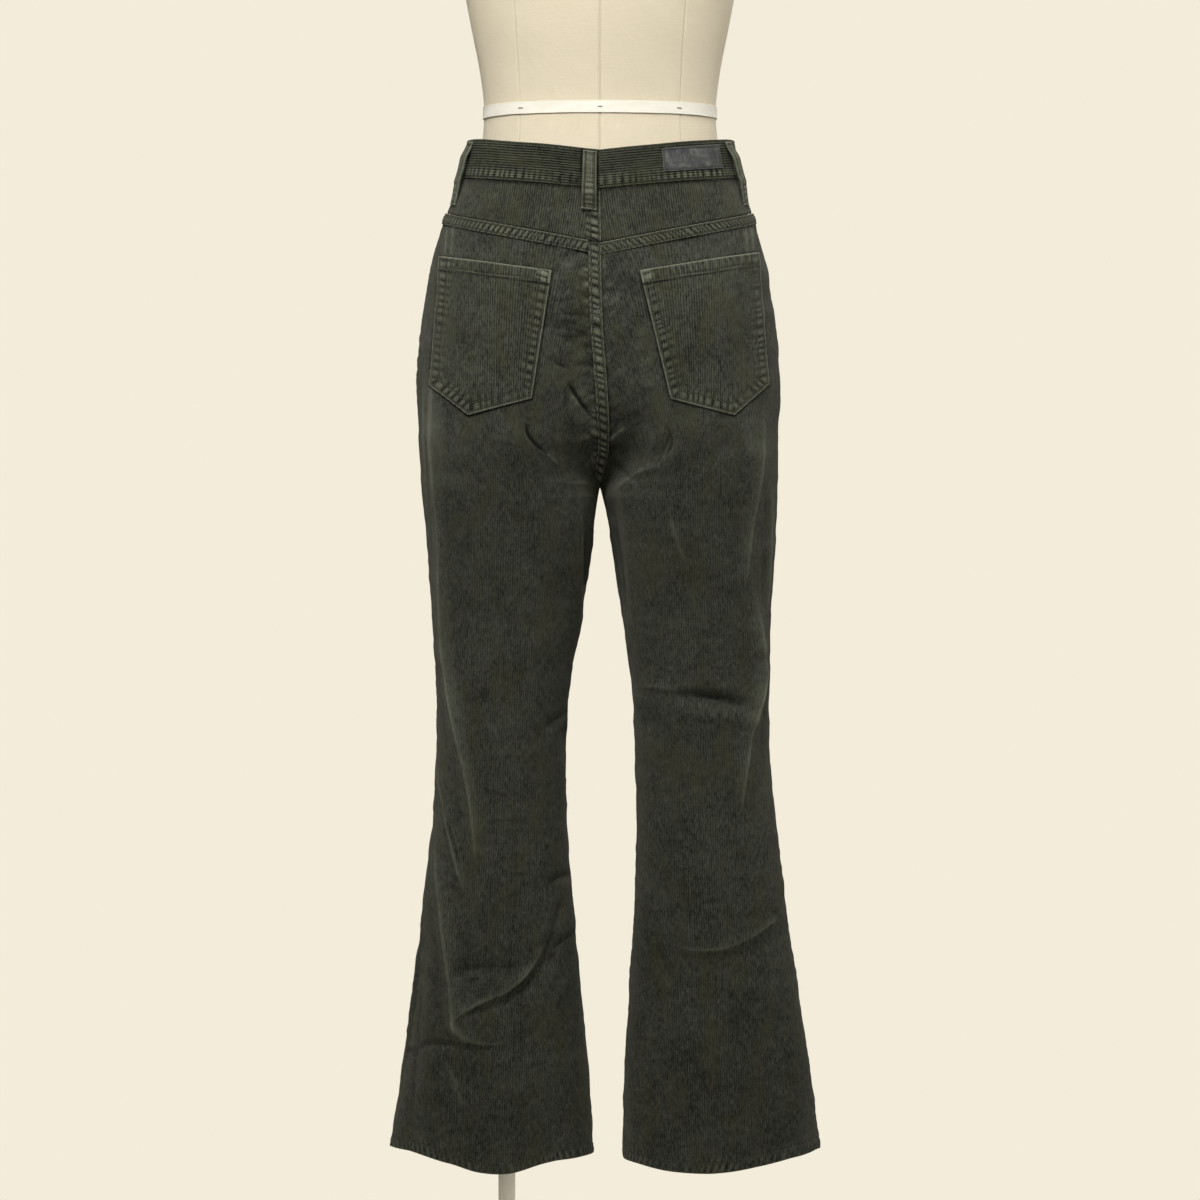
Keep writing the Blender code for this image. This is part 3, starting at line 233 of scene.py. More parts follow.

# ================= creases of the hanging cloth =================
# Each runs through a bend from (x0, z0) by (x1, z1) to (x2, z2). The next two numbers are its half
# widths on the left and right of that way, seen from behind the wearer, and then its height out of the
# cloth, where positive. All these are in millimetres. The last number says how light a ridge is worn
# and painted lit along it or, where it is negative, how much painted shade lies along the crease.
CREASES = {  # by face
    -1: [
        # left leg: the long edge where the cloth turns to its side, top to bottom
        (-168.5, 990, -169, 900, -163.5, 820, 12, 6, 3.5, 0.45),
        (-163.5, 830, -163.2, 780, -160, 700, 12, 6, 4, 0.5),
        (-160.5, 720, -154, 650, -141, 597, 12, 7, 5, 0.75),
        (-142, 602, -132, 560, -128.5, 500, 10, 8, 4.2, 0.55),
        (-169, 590, -159, 530, -140.5, 465, 11, 7, 4.5, 0.5),
        (-169, 510, -162.5, 430, -156, 370, 14, 8, 5, 0.5),
        (-157, 385, -153, 340, -151.5, 310, 14, 9, 5.5, 0.45),
        (-175.5, 930, -176, 860, -170, 760, 5, 5, -1.6, -0.25),
        (-169, 690, -166, 650, -156, 600, 6, 6, -2.2, -0.3),
        (-164, 560, -153, 520, -143, 490, 5, 6, -1.8, -0.3),
        # left leg: the side wing of the flare, set back
        (-190, 420, -197, 290, -203, 160, 18, 20, -8.5, -0.1),
        # left leg: the bent crease of the shin and what runs into it
        (-39.5, 450, -46.5, 424, -57, 396, 7, 5, -3.4, -0.5),
        (-52.5, 404, -64, 366, -98.5, 347, 9, 5, -5.4, -0.42),
        (-90, 350, -120, 338, -146, 331, 9, 5, -3.6, -0.15),
        (-57, 408, -74, 371, -103, 356, 5, 8, 2.6, 0.4),
        (-98, 358, -133, 346, -150, 330, 4, 6, 2.2, 0.38),
        (-150.5, 332, -157, 318, -138, 309, 4, 4, 1.4, 0.36),
        (-144, 334, -147, 324, -136, 316, 4, 4, -1.8, -0.35),
        (-150, 300, -124, 296, -104, 302, 7, 7, -2.8, -0.25),
        (-143, 309, -125, 303, -104, 304, 5, 5, 1.4, 0.28),
        (-45, 397, -50, 390, -57, 384, 5, 5, -2.4, -0.3),
        (-31, 470, -44, 481, -56, 463, 6, 5, -3, -0.45),
        (-78, 309, -66, 318, -56, 331, 5, 6, -2.2, -0.3),
        (-197, 293, -172, 305, -152, 302, 5, 6, -3.8, -0.55),
        (-209, 285, -205, 284, -195, 286, 4, 4, -2, -0.4),
        (-161, 290, -148, 262, -139, 232, 10, 10, 2.6, 0.25),
        (-155, 383, -120, 380, -82, 383, 7, 7, -1.6, -0.18),
        # left leg: waves of the hem
        (-60, 290, -88, 250, -102, 165, 26, 26, 6, 0.05),
        (-152, 250, -160, 210, -164, 165, 14, 14, 3, 0.05),
        (-42, 260, -44, 210, -46, 165, 14, 14, -3, -0.05),
        # left leg: behind the knee and the inner thigh
        (-30, 646, -44, 640, -56, 630, 7, 6, -4, -0.4),
        (-33.5, 635, -38, 622, -36, 600, 5, 5, -2, -0.3),
        (-21.5, 872, -17, 800, -23.5, 722, 7, 10, 3.2, 0.25),
        (-14, 850, -9, 800, -18, 750, 6, 6, -5, -0.75),
        (-100, 745, -80, 735, -56, 742, 12, 12, -1.8, -0.12),
        # right leg: the side edge, top to bottom
        (165, 950, 164, 900, 156.2, 858, 7, 11, 3.6, 0.5),
        (156.6, 864, 150, 830, 147, 780, 8, 10, 3.6, 0.45),
        (174.5, 880, 175, 820, 170.6, 750, 5, 6, 2.2, 0.5),
        (169, 880, 165, 820, 165, 760, 5, 5, -2, -0.3),
        (160, 760, 165, 710, 169.8, 682, 6, 10, 4.2, 0.5),
        (169.8, 688, 162.5, 655, 155, 628, 7, 10, 5.6, 0.8),
        (156, 634, 148, 585, 145.5, 545, 8, 10, 4, 0.45),
        (174, 700, 170, 655, 165, 610, 5, 5, -2.4, -0.4),
        # right leg: the dark crease behind the knee
        (78, 668, 112, 666, 148, 656, 7, 10, -7, -0.75),
        (42, 674, 60, 678, 82, 671, 8, 7, 2.6, 0.25),
        (72, 654, 112, 645, 150, 640, 14, 12, 2.2, 0.1),
        (40, 655, 48, 640, 46, 615, 6, 6, -2.6, -0.3),
        # right leg: the curved crease of the shin
        (62, 411, 118, 391, 160, 418, 8, 6, 1.8, 0.25),
        (156, 415, 172, 424, 183, 433, 7, 6, 2.2, 0.35),
        (68, 399, 118, 378, 188, 414, 9, 14, -2, -0.1),
        (59, 416, 62, 386, 76, 370, 6, 6, -2.8, -0.3),
        (125, 377, 160, 371, 198, 374, 10, 10, -1.8, -0.15),
        (50, 330, 62, 280, 60, 220, 14, 14, -2.4, -0.1),
        (110, 300, 112, 230, 114, 162, 30, 30, 5, 0.04),
        (188, 330, 198, 250, 202, 170, 14, 16, -4, -0.08),
        (33, 215, 48, 195, 60, 184, 6, 6, -2.4, -0.3),
        # right leg: the inner thigh
        (20, 884, 28, 810, 35, 730, 10, 7, 3, 0.2),
        (13, 860, 17, 800, 25, 745, 6, 6, -4.8, -0.7),
        (69, 858, 74, 835, 87, 803, 6, 6, 1.4, 0.3),
        # under the seat
        (-72.5, 946, -74.5, 931, -53, 917, 3.6, 2.6, -1.2, -1.5),
        (-54.5, 918, -48, 911, -40.5, 904, 4, 4, 1, 0.28),
        (-69, 962, -74, 948, -68, 930, 8, 8, -2.8, -0.22),
        (-60, 1042, -36, 1044, -12, 1034, 9, 7, -2.6, -0.26),
        (-56, 1008, -34, 1012, -13, 1002, 12, 12, -2.2, -0.14),
        (68, 936, 63, 924, 58.5, 910, 5, 6, -3.6, -0.5),
        (18, 876, 28, 896, 57, 903, 8, 6, 2.8, 0.32),
        (5, 905, 24, 898, 40, 884, 7, 6, -3, -0.35),
        (8, 992, 14, 998, 20, 1004, 4, 5, -2.2, -0.35),
        (36, 1010, 56, 980, 62, 950, 14, 14, 1.8, 0.1),
        # drag lines at the hips
        (-147, 1152, -150, 1135, -151, 1100, 3, 3, 1, 0.32),
        (-154, 1154, -157, 1135, -158, 1092, 3.5, 3, 1.1, 0.38),
        (-163, 1148, -166, 1130, -166.5, 1105, 3.5, 3.5, -1.2, -0.35),
        (145, 1152, 148, 1135, 149, 1108, 3, 3, 1, 0.3),
        (152, 1154, 155, 1135, 156, 1100, 3, 3.5, 1.1, 0.36),
        (161.5, 1148, 164, 1130, 164.5, 1108, 3.5, 3.5, -1.2, -0.35),
        (-179, 990, -179.5, 930, -176.5, 850, 3, 3, 0.9, 0.36),
        (-171, 985, -171.8, 930, -169, 860, 3, 3, 0.9, 0.36),
        (-31.5, 986, -22.5, 971, -10, 955, 2.8, 2.2, -0.7, -1.6),
        (-34, 980, -35, 970, -33.5, 960, 3, 3, -0.8, -0.6),
        (-52, 1012, -40, 1003, -29, 1000, 5, 4, -2.4, -0.6),
        (-48, 1036, -33, 1030, -15, 1034, 5, 5, -2.2, -0.5),
        (-40, 1058, -28, 1052, -14, 1056, 4, 4, -2, -0.45),
        (-98.5, 1012, -106, 996, -93, 984, 5, 5, -2, -0.55),
        (66, 942, 75.5, 930, 65, 914, 4, 5, -3, -0.75),
        (6, 918, 11, 936, 26, 941, 5, 5, 2, 0.4),
        (-22, 415, -40, 408, -52, 398, 5, 5, -1.8, -0.5),
        (-149, 386, -120, 384, -88, 385, 6, 6, -1.4, -0.45),
    ],
    1: [
        (-20, 905, -60, 935, -105, 955, 11, 15, -6, -0.3),
        (22, 900, 70, 925, 118, 950, 15, 11, -6, -0.3),
        (-30, 850, -75, 868, -120, 880, 12, 15, -4.5, -0.2),
        (35, 845, 80, 860, 125, 874, 15, 12, -4.5, -0.2),
        (-18, 935, -42, 962, -70, 978, 8, 10, -3, -0.25),
        (18, 940, 40, 968, 72, 990, 10, 8, -2.6, -0.25),
        (-50, 640, -105, 622, -150, 646, 14, 17, -6, -0.25),
        (55, 628, 105, 645, 152, 632, 17, 14, -5.5, -0.25),
        (-60, 600, -95, 588, -130, 602, 12, 12, -2.6, -0.15),
        (65, 665, 100, 674, 135, 668, 12, 12, -2.8, -0.15),
        (-105, 560, -116, 400, -130, 160, 20, 22, 6.5, 0.12),
        (110, 540, 122, 390, 134, 160, 22, 20, 6.5, 0.12),
        (-58, 480, -54, 340, -48, 160, 18, 18, -5, -0.1),
        (66, 470, 66, 330, 66, 160, 18, 18, -5, -0.1),
        (-170, 900, -166, 780, -160, 660, 8, 8, 3, 0.3),
        (169, 880, 165, 770, 160, 650, 8, 8, 3, 0.3),
        (-130, 350, -95, 336, -60, 350, 10, 12, -3.2, -0.2),
        (70, 372, 110, 356, 150, 368, 10, 12, -3.2, -0.2),
    ],
}
SWAY_ROWS = [  # slow unevenness of the cloth: across, along, height, seed
    (0.058, 0.150, 0.0015, 11),
    (0.024, 0.070, 0.0006, 12),
    (0.040, 0.016, 0.0006, 13),
]


# ================= interpolation and noise =================
def unit(vectors):
    return vectors / np.linalg.norm(vectors, axis=-1, keepdims=True)


def same_shape(a, b):
    return np.broadcast_arrays(np.asarray(a, float), np.asarray(b, float))


def lengths_along(path):
    """The length along a path at each of its points."""
    return np.concatenate([[0.0], np.cumsum(np.linalg.norm(np.diff(path, axis=0), axis=1))])


def smooth_rows(rows, column, key):
    """A smooth curve through one column of a table whose first column rises, read at key."""
    table = np.array(rows, float)
    knots = table[:, 0]
    values = table[:, column]
    slopes = np.gradient(values, knots)
    key = np.clip(np.asarray(key, float), knots[0], knots[-1])
    low = np.clip(np.searchsorted(knots, key) - 1, 0, len(knots) - 2)
    span = knots[low + 1] - knots[low]
    s = (key - knots[low]) / span
    return (
        values[low] * (1 + 2 * s) * (1 - s) ** 2
        + slopes[low] * span * s * (1 - s) ** 2
        + values[low + 1] * s**2 * (3 - 2 * s)
        - slopes[low + 1] * span * s**2 * (1 - s)
    )


def quarter_angle(share):
    """Angle on a super-ellipse's quarter at this share of the quarter's length."""
    angle = np.linspace(0, np.pi / 2, 721)
    power = 2 / SQUARENESS
    steps = np.hypot(np.diff(np.cos(angle) ** power), np.diff(np.sin(angle) ** power))
    length = np.concatenate([[0.0], np.cumsum(steps)])
    return np.interp(share, length / length[-1], angle)


def half_angle(share):
    """The same over a half, through both of its quarters."""
    mirrored = np.pi - quarter_angle(2 - 2 * np.clip(share, 0.5, 1.0))
    return np.where(share <= 0.5, quarter_angle(2 * np.clip(share, 0.0, 0.5)), mirrored)


def ease(value, low, high):
    """0 up to low, 1 from high on, and a smooth step between them."""
    s = np.clip((value - low) / (high - low), 0.0, 1.0)
    return s * s * (3 - 2 * s)


def noise(x, y, seed):
    """Smooth noise from -1 to +1 that is the same in every run, about one bump for each unit."""
    x, y = same_shape(x, y)
    low_x, low_y = np.floor(x), np.floor(y)
    in_x, in_y = x - low_x, y - low_y
    in_x, in_y = in_x * in_x * (3 - 2 * in_x), in_y * in_y * (3 - 2 * in_y)

    def corner(step_x, step_y):
        key = (low_x + step_x).astype(np.int64) * 73856093 ^ (low_y + step_y).astype(np.int64) * 19349663
        key = (key ^ (seed * 83492791)) * 2654435761 & 0xFFFFFFFF
        key = (key ^ (key >> 15)) * 2246822519 & 0xFFFFFFFF
        return ((key >> 8) & 0xFFFF) / 32767.5 - 1

    low = corner(0, 0) * (1 - in_x) + corner(1, 0) * in_x
    high = corner(0, 1) * (1 - in_x) + corner(1, 1) * in_x
    return low * (1 - in_y) + high * in_y


# ================= the body surface =================
def body_z(side, face, u, h):
    leg = np.clip(h, 0.0, 1.0)
    rise = np.clip(h - 1.0, 0.0, 1.0)
    table = np.array(RISE_ROWS, float)
    side_z = np.interp(rise, table[:, 0], table[:, 1])
    column = 2 if face < 0 else 3
    curve_height = table[1, column] - CROTCH_Z
    curve = curve_height * (1 - np.cos(np.pi / 2 * np.clip(rise / SEAT_T, 0, 1)))
    above = np.interp(rise, table[1:, 0], table[1:, column])
    centre_z = np.where(rise < SEAT_T, CROTCH_Z + curve, above)
    slope = 1 - np.cos(np.pi / 2 * u)
    rise_z = side_z * (1 - slope) + centre_z * slope
    hem_column = (1 if face < 0 else 2) + (0 if side < 0 else 2)
    hem = smooth_rows(HEM_ROWS, hem_column, u)
    leg_z = hem + (CROTCH_Z - hem) * leg
    return np.where(h <= 1.0, leg_z, rise_z)


def solid_point(side, face, u, h):
    """Point of the smooth body surface, as the solids have it."""
    u, h = same_shape(u, h)
    z = body_z(side, face, u, h)
    power = 2 / SQUARENESS
    edges = (1, 2) if side < 0 else (4, 3)
    leg_columns = (*edges, 5 if face < 0 else 7, 6)
    hip_columns = (1 if side < 0 else 2, 3 if face < 0 else 5, 4, 6 if face < 0 else 7)
    outer, inner, depth, seam = (smooth_rows(LEG_ROWS, column, z) for column in leg_columns)
    hips = (smooth_rows(HIP_ROWS, column, z) for column in hip_columns)
    hip_outer, hip_depth, hip_seam, hip_centre = hips

    above = h > 1.0
    outer = np.where(above, hip_outer, outer)
    inner = np.where(above, 0.0, inner)
    depth = np.where(above, hip_depth, depth)
    seam = np.where(above, hip_seam, seam)

    angle = half_angle(u)
    cosine = np.cos(angle)
    leg_x = (outer + inner) / 2 + (outer - inner) / 2 * np.sign(cosine) * np.abs(cosine) ** power
    leg_y = seam + (depth - seam) * np.abs(np.sin(angle)) ** power

    quarter = quarter_angle(u)
    hip_x = hip_outer * np.abs(np.cos(quarter)) ** power
    full = hip_depth + (hip_centre - hip_depth) * ease(u, 0.55, 1.0)
    hip_y = hip_seam + (full - hip_seam) * np.abs(np.sin(quarter)) ** power

    rise = np.clip((h - 1.0) / SEAT_T, 0.0, 1.0)
    inner = ease(u, 0.30, 1.0)
    joined = inner * np.sin(np.pi / 2 * rise) + (1 - inner) * ease(rise, 0.0, 1.0)
    x = leg_x * (1 - joined) + hip_x * joined
    y = leg_y * (1 - joined) + hip_y * joined
    fullness = SEAT_FULLNESS if face < 0 else -BELLY_FULLNESS
    y = y - fullness * np.sin(np.pi * rise) ** 2 * np.sin(np.pi * np.clip(u, 0, 1) ** 1.4) ** 2
    return np.stack([side * x, y, z], axis=-1)


def body_point(side, face, u, h):
    """The same with the bend at crotch height rounded off, and with the centre-back seam's drift."""
    u, h = same_shape(u, h)
    point = solid_point(side, face, u, h)
    reach = 0.05 * (1 - ease(np.abs(h - 1), 0.04, 0.12)) * (1 - ease(u, 0.93, 1.0))
    if reach.any():
        beside = solid_point(side, face, u, h - reach) + solid_point(side, face, u, h + reach)
        point = 0.5 * point + 0.25 * beside
    if face < 0:
        drift = smooth_rows(DRIFT_ROWS, 1, point[..., 2]) * ease(u, 0.5, 1.0)
        point[..., 0] += np.where(h > 1, drift, 0.0)
    return point


def body_normal(side, face, u, h):
    """Outward unit normal of the smooth body surface. On a seam it lies in the seam's own plane."""
    step = 0.004
    u, h = same_shape(u, h)
    u_low, u_high = np.clip(u - step, 0, 1), np.clip(u + step, 0, 1)
    h_low, h_high = np.clip(h - step, 0, 2), np.clip(h + step, 0, 2)
    along_u = body_point(side, face, u_high, h) - body_point(side, face, u_low, h)
    along_h = body_point(side, face, u, h_high) - body_point(side, face, u, h_low)
    normal = np.cross(along_u, along_h) * side * face
    at_side = (u <= 0)[..., None]
    at_inner = (u >= 1)[..., None]
    above = (h >= 1)[..., None]
    no_y = np.where(at_side | (at_inner & ~above), np.array([1.0, 0.0, 1.0]), 1.0)
    no_x = np.where(at_inner & above, np.array([0.0, 1.0, 1.0]), 1.0)
    normal = normal * no_y * no_x
    crotch = np.array([0.0, 0.0, -1.0])
    normal = np.where(at_inner & (np.abs(h - 1) < 1e-9)[..., None], crotch, normal)
    return unit(normal)


def locate(side, face, x, z, start_u=0.5, start_h=1.5):
    """The u and h of the surface points seen at (x, z) above the crotch, found by Newton's method."""
    x, z = np.asarray(x, float), np.asarray(z, float)
    u = np.full(x.shape, start_u)
    h = np.full(x.shape, start_h)
    step = 1e-4
    for _ in range(24):
        here = body_point(side, face, u, h)
        du = (body_point(side, face, u + step, h) - here) / step
        dh = (body_point(side, face, u, h + step) - here) / step
        off_x, off_z = x - here[..., 0], z - here[..., 2]
        area = du[..., 0] * dh[..., 2] - du[..., 2] * dh[..., 0]
        area = np.where(np.abs(area) < 1e-9, 1e-9, area)
        move_u = (off_x * dh[..., 2] - off_z * dh[..., 0]) / area
        move_h = (du[..., 0] * off_z - du[..., 2] * off_x) / area
        u = np.clip(u + np.clip(move_u, -0.1, 0.1), 0.01, 0.99)
        h = np.clip(h + np.clip(move_h, -0.1, 0.1), 1.01, 1.99)
    return u, h


# ================= lengths along the cloth =================
TABLE_U = np.linspace(0, 1, 121)
TABLE_H = np.linspace(0, 2, 401)
GRAIN_ROWS = [(0.17, 0.1150), (CROTCH_Z, 0.0925), (1.24, 0.0925)]  # z, |x| of the straight grain line
BACK_LEAN = 0.26  # how far the wales lean out at the centre back, for each metre up
YOKE_LEAN = 0.14  # the same on the yokes
LEAN_Z = 1.02  # they lean about this height


def measure_rows(side, face):
    """For each row of the body surface, its length from the side seam to each u, and to the grain line."""
    u, h = np.meshgrid(TABLE_U, TABLE_H)
    point = body_point(side, face, u, h)
    steps = np.linalg.norm(np.diff(point, axis=1), axis=-1)
    length = np.concatenate([np.zeros((len(TABLE_H), 1)), np.cumsum(steps, axis=1)], axis=1)
    grain_x = np.interp(point[:, 60, 2], *np.array(GRAIN_ROWS).T)
    grain = [np.interp(-gx, -side * row, arc) for gx, row, arc in zip(grain_x, point[..., 0], length)]
    return length, np.array(grain)


ROW_LENGTHS = {(side, face): measure_rows(side, face) for side in (-1, 1) for face in (-1, 1)}


def across(side, face, u, h):
    """Lengths along the row: from the side seam, to the inner seam, and from the grain line."""
    table, grain = ROW_LENGTHS[side, face]
    u, h = same_shape(u, h)
    column = np.clip(u, 0, 1) * (len(TABLE_U) - 1)
    row = np.clip(h, 0, 2) / 2 * (len(TABLE_H) - 1)
    j = np.minimum(column.astype(int), len(TABLE_U) - 2)
    i = np.minimum(row.astype(int), len(TABLE_H) - 2)
    in_u, in_h = column - j, row - i
    low = table[i, j] * (1 - in_u) + table[i, j + 1] * in_u
    high = table[i + 1, j] * (1 - in_u) + table[i + 1, j + 1] * in_u
    length = low * (1 - in_h) + high * in_h
    whole = table[i, -1] * (1 - in_h) + table[i + 1, -1] * in_h
    middle = grain[i] * (1 - in_h) + grain[i + 1] * in_h
    return length, whole - length, length - middle


def moved_u(side, face, h, start, distance):
    """The u of each row h at a distance along the row from its point at u = start."""
    table, _ = ROW_LENGTHS[side, face]
    found = []
    for row_h, row_start, away in zip(*np.broadcast_arrays(h, start, distance)):
        row = table[int(round(row_h / 2 * (len(TABLE_H) - 1)))]
        found.append(np.interp(np.interp(row_start, TABLE_U, row) + away, row, TABLE_U))
    return np.array(found)


def grain_uv(side, face, u, h, z, lean=None):
    """Metres on the cloth, across its wales and along them. They lean out at the centre back."""
    grain = across(side, face, u, h)[2]
    if lean is None:
        lean = BACK_LEAN * ease(grain, -0.03, 0.10) * ease(h, 1.05, 1.3) if face < 0 else 0.0
    wale = -grain + lean * (z - LEAN_Z)
    return np.stack([side * wale + 2.0 * side, z], axis=-1)


# ================= creases, seams and puckers =================
def bell(away, width):
    """1 where away is 0, and nearly 0 from twice the width on, on both sides."""
    return np.exp(-((away / width) ** 2))


def fall(away, width):
    """1 up to 0, then falling off over the width."""
    return np.exp(-np.clip(away, 0, None) / width)


def path_distance(x, z, path_x, path_z):
    """Distance from points to a path, positive on its left, and the share of the path at the nearest."""
    best = np.full(x.shape, 1e9)
    share = np.zeros(x.shape)
    sign = np.ones(x.shape)
    count = len(path_x) - 1
    for i in range(count):
        dx, dz = path_x[i + 1] - path_x[i], path_z[i + 1] - path_z[i]
        along = np.clip(((x - path_x[i]) * dx + (z - path_z[i]) * dz) / (dx * dx + dz * dz), 0, 1)
        off_x, off_z = x - path_x[i] - along * dx, z - path_z[i] - along * dz
        away = np.hypot(off_x, off_z)
        closer = away < best
        best = np.where(closer, away, best)
        share = np.where(closer, (i + along) / count, share)
        sign = np.where(closer, np.sign(dx * off_z - dz * off_x), sign)
    return best * sign, share


def creases(face, x, z):
    """How far the creases push the cloth out at (x, z) of one face, and its wear with painted light and
    shade there.
    """
    height, tone = np.zeros(x.shape), np.zeros(x.shape)
    s = np.linspace(0, 1, 15)
    for *lengths, line in CREASES[face]:
        x0, z0, x1, z1, x2, z2, left, right, rise = (length / 1000 for length in lengths)
        path_x = (1 - s) ** 2 * x0 + 2 * s * (1 - s) * x1 + s * s * x2
        path_z = (1 - s) ** 2 * z0 + 2 * s * (1 - s) * z1 + s * s * z2
        reach = 2.6 * max(left, right)
        near_x = np.abs(x - (path_x.min() + path_x.max()) / 2) < np.ptp(path_x) / 2 + reach
        near_z = np.abs(z - (path_z.min() + path_z.max()) / 2) < np.ptp(path_z) / 2 + reach
        near = near_x & near_z
        if not near.any():
            continue
        away, share = path_distance(x[near], z[near], path_x, path_z)
        half = np.where(away > 0, left, right)
        taper = np.sin(np.pi * (0.07 + 0.86 * share)) ** 0.8
        strength = taper * (1 + 0.25 * noise(share * 5 + z0 * 90, x0 * 70, 5))
        round_part = bell(away, half)
        sharp_part = np.exp(-1.6 * np.abs(away) / half)
        height[near] += rise * strength * 0.55 * (round_part + sharp_part)
        steep = np.sign(right - left)
        middle = bell(away, LINE_HALF)
        beside = abs(steep) * bell(away - steep * BESIDE, LINE_HALF)
        # A ridge gets a light line of worn pile and painted highlight, with painted shade beside it on the
        # steep side; a trough gets a line and breadth of painted shade, with a painted light lip on the
        # steep side.
        if line > 0:
            rubbed_and_shaded = 0.75 * middle + 0.40 * round_part - 0.25 * beside
        else:
            rubbed_and_shaded = 0.95 * middle + 0.22 * round_part - 0.22 * beside
        tone[near] += line * strength * rubbed_and_shaded
    return height, tone


def sway(side, face, x, z, h):
    """Slow unevenness of the hanging cloth."""
    total = sum(
        height * noise(x / width, z / length, seed + 10 * face + 3 * side)
        for width, length, height, seed in SWAY_ROWS
    )
    return total * (1 - 0.75 * ease(h, 1.55, 1.78))


def cloth_point(side, face, u, h, lift=0.0):
    """Point of the creased cloth's outer surface, moved out by lift, the normal there and its wear with
    painted light and shade.
    """
    point = body_point(side, face, u, h)
    normal = body_normal(side, face, u, h)
    u, h = same_shape(u, h)
    x, z = point[..., 0], point[..., 2]
    height, tone = creases(face, x, z)
    height = height + sway(side, face, x, z, h)
    fade = ease(u, 0.0, 0.06) * np.maximum(1 - ease(u, 0.94, 1.0), ease(h, 1.0, 1.15))
    centre = 1 - ease(u, 0.985, 1.0) * ease(h, 1.0, 1.1)
    gathered = noise(z / 0.021, 3.3 * side, 300) + 0.6 * noise(z / 0.008, 7.1 * side, 301)
    at_seams = (1 - ease(u, 0.0, 0.15)) + (1 - ease(h, 0.93, 0.98)) * ease(u, 0.88, 1.0)
    wavy = 0.0008 * gathered * at_seams * (1 - ease(h, 1.40, 1.50))
    return point + normal * (height * fade * centre + wavy + lift)[..., None], normal, tone * fade


def ladder(along, pitch, seed):
    """Uneven puckers along a seam: broad crests of about +1 between narrow troughs of about -1."""
    phase = along / pitch + 0.75 * noise(along / (2.3 * pitch), 0.5, seed)
    strength = 0.78 + 0.42 * noise(along / (3.1 * pitch), 7.5, seed)
    return strength * (2.1 * np.abs(np.sin(np.pi * phase)) ** 0.85 - 1.1)


def drawn_up(along, pitch, seed, away, reach, rise=0.001):
    """The puckers of the cloth beside a seam, from nothing at the seam and fading over reach."""
    return ladder(along, pitch, seed) * fall(away, reach) * ease(away, 0.0, rise)


def sewn(distance, along, rows, seed, pitch=RUNG, slant=0.0, reach=0.0045, depth=PUCKER):
    """Height of the cloth at a distance in from a sewn edge with rows of stitches, and its wear and painted
    shade.

    The cloth swells in rungs between two rows and beyond the last, and sinks along each row. Crests are
    lighter as worn pile; troughs and the rows' grooves are darker as painted shade.
    """
    rungs = ladder(along + slant * distance, pitch, seed)
    first, last = rows[0], rows[-1]
    between = ease(distance, first, first + BLOCK_EDGE) * (1 - ease(distance, last - BLOCK_EDGE, last))
    loose = 1.1 * (1 - fall(distance - last, 0.0010)) * fall(distance - last, reach)
    before = 0.4 * np.clip((first - distance) / first, 0, 1)
    swell = np.maximum(np.maximum(between, loose), before) * (distance > -reach)
    sunk = sum(bell(distance - row, GROOVE_HALF) for row in rows)
    height = depth * rungs * swell - GROOVE * sunk
    # crests lighter as worn pile; troughs, weighted more, and sunk grooves darker as painted shade
    tone = np.where(rungs > 0, 0.42, 1.15) * rungs * swell - 0.40 * sunk
    return height, tone


def rolled(distance, radius):
    """How far a rounded edge falls away at a distance in from it."""
    share = 1 - np.clip(distance / radius, 0, 1)
    return radius * (1 - np.sqrt(np.clip(1 - share**2, 0, 1)))


def slit(side, face, u, h):
    """The hair's breadth by which a piece's edges stand back from the planes of its seams."""
    moved = np.zeros((*u.shape, 3))
    moved[..., 1] = np.where((u <= 0) | ((u >= 1) & (h <= 1)), face * SEAM_SLIT, 0.0)
    moved[..., 0] = np.where((u >= 1) & (h >= 1), side * SEAM_SLIT, 0.0)
    return moved


# ================= meshes =================
def placed(name, data):
    made = bpy.data.objects.new(name, data)
    bpy.context.scene.collection.objects.link(made)
    return made


def mesh_object(name, points, faces, finish, uv=None, tone=None, sharp=50):
    """An object from points, a list of arrays of faces, and each point's place on the cloth and its wear
    with painted light and shade.
    """
    corners = np.concatenate([f.ravel() for f in faces]).astype(np.int32)
    totals = np.concatenate([np.full(len(f), f.shape[1]) for f in faces])
    starts = np.concatenate([[0], np.cumsum(totals)[:-1]]).astype(np.int32)
    uv = np.zeros((len(points), 2)) if uv is None else uv
    tone = np.zeros(len(points)) if tone is None else tone
    mesh = bpy.data.meshes.new(name)
    mesh.vertices.add(len(points))
    mesh.vertices.foreach_set("co", points.astype(np.float32).ravel())
    mesh.loops.add(len(corners))
    mesh.loops.foreach_set("vertex_index", corners)
    mesh.polygons.add(len(totals))
    mesh.polygons.foreach_set("loop_start", starts)
    mesh.update(calc_edges=True)
    mesh.uv_layers.new(name="cloth").data.foreach_set("uv", uv[corners].astype(np.float32).ravel())
    # wear_and_shade: above 0 is worn pile with painted highlight on crests, below 0 is painted shade in
    # creases, grooves and under edges
    mesh.attributes.new("wear_and_shade", "FLOAT", "POINT").data.foreach_set("value", tone.astype(np.float32))
    mesh.materials.append(finish)
    mesh.shade_smooth()
    mesh.set_sharp_from_angle(angle=math.radians(sharp))
    made = placed(name, mesh)
    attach(made, "root")
    return made


def grid_faces(index):
    """Quads over a grid of point numbers."""
    corners = [index[:-1, :-1], index[:-1, 1:], index[1:, 1:], index[1:, :-1]]
    return np.stack(corners, axis=-1).reshape(-1, 4)


def joined_round(index):
    """The same grid with its first column repeated after its last."""
    return np.concatenate([index, index[:, :1]], axis=1)


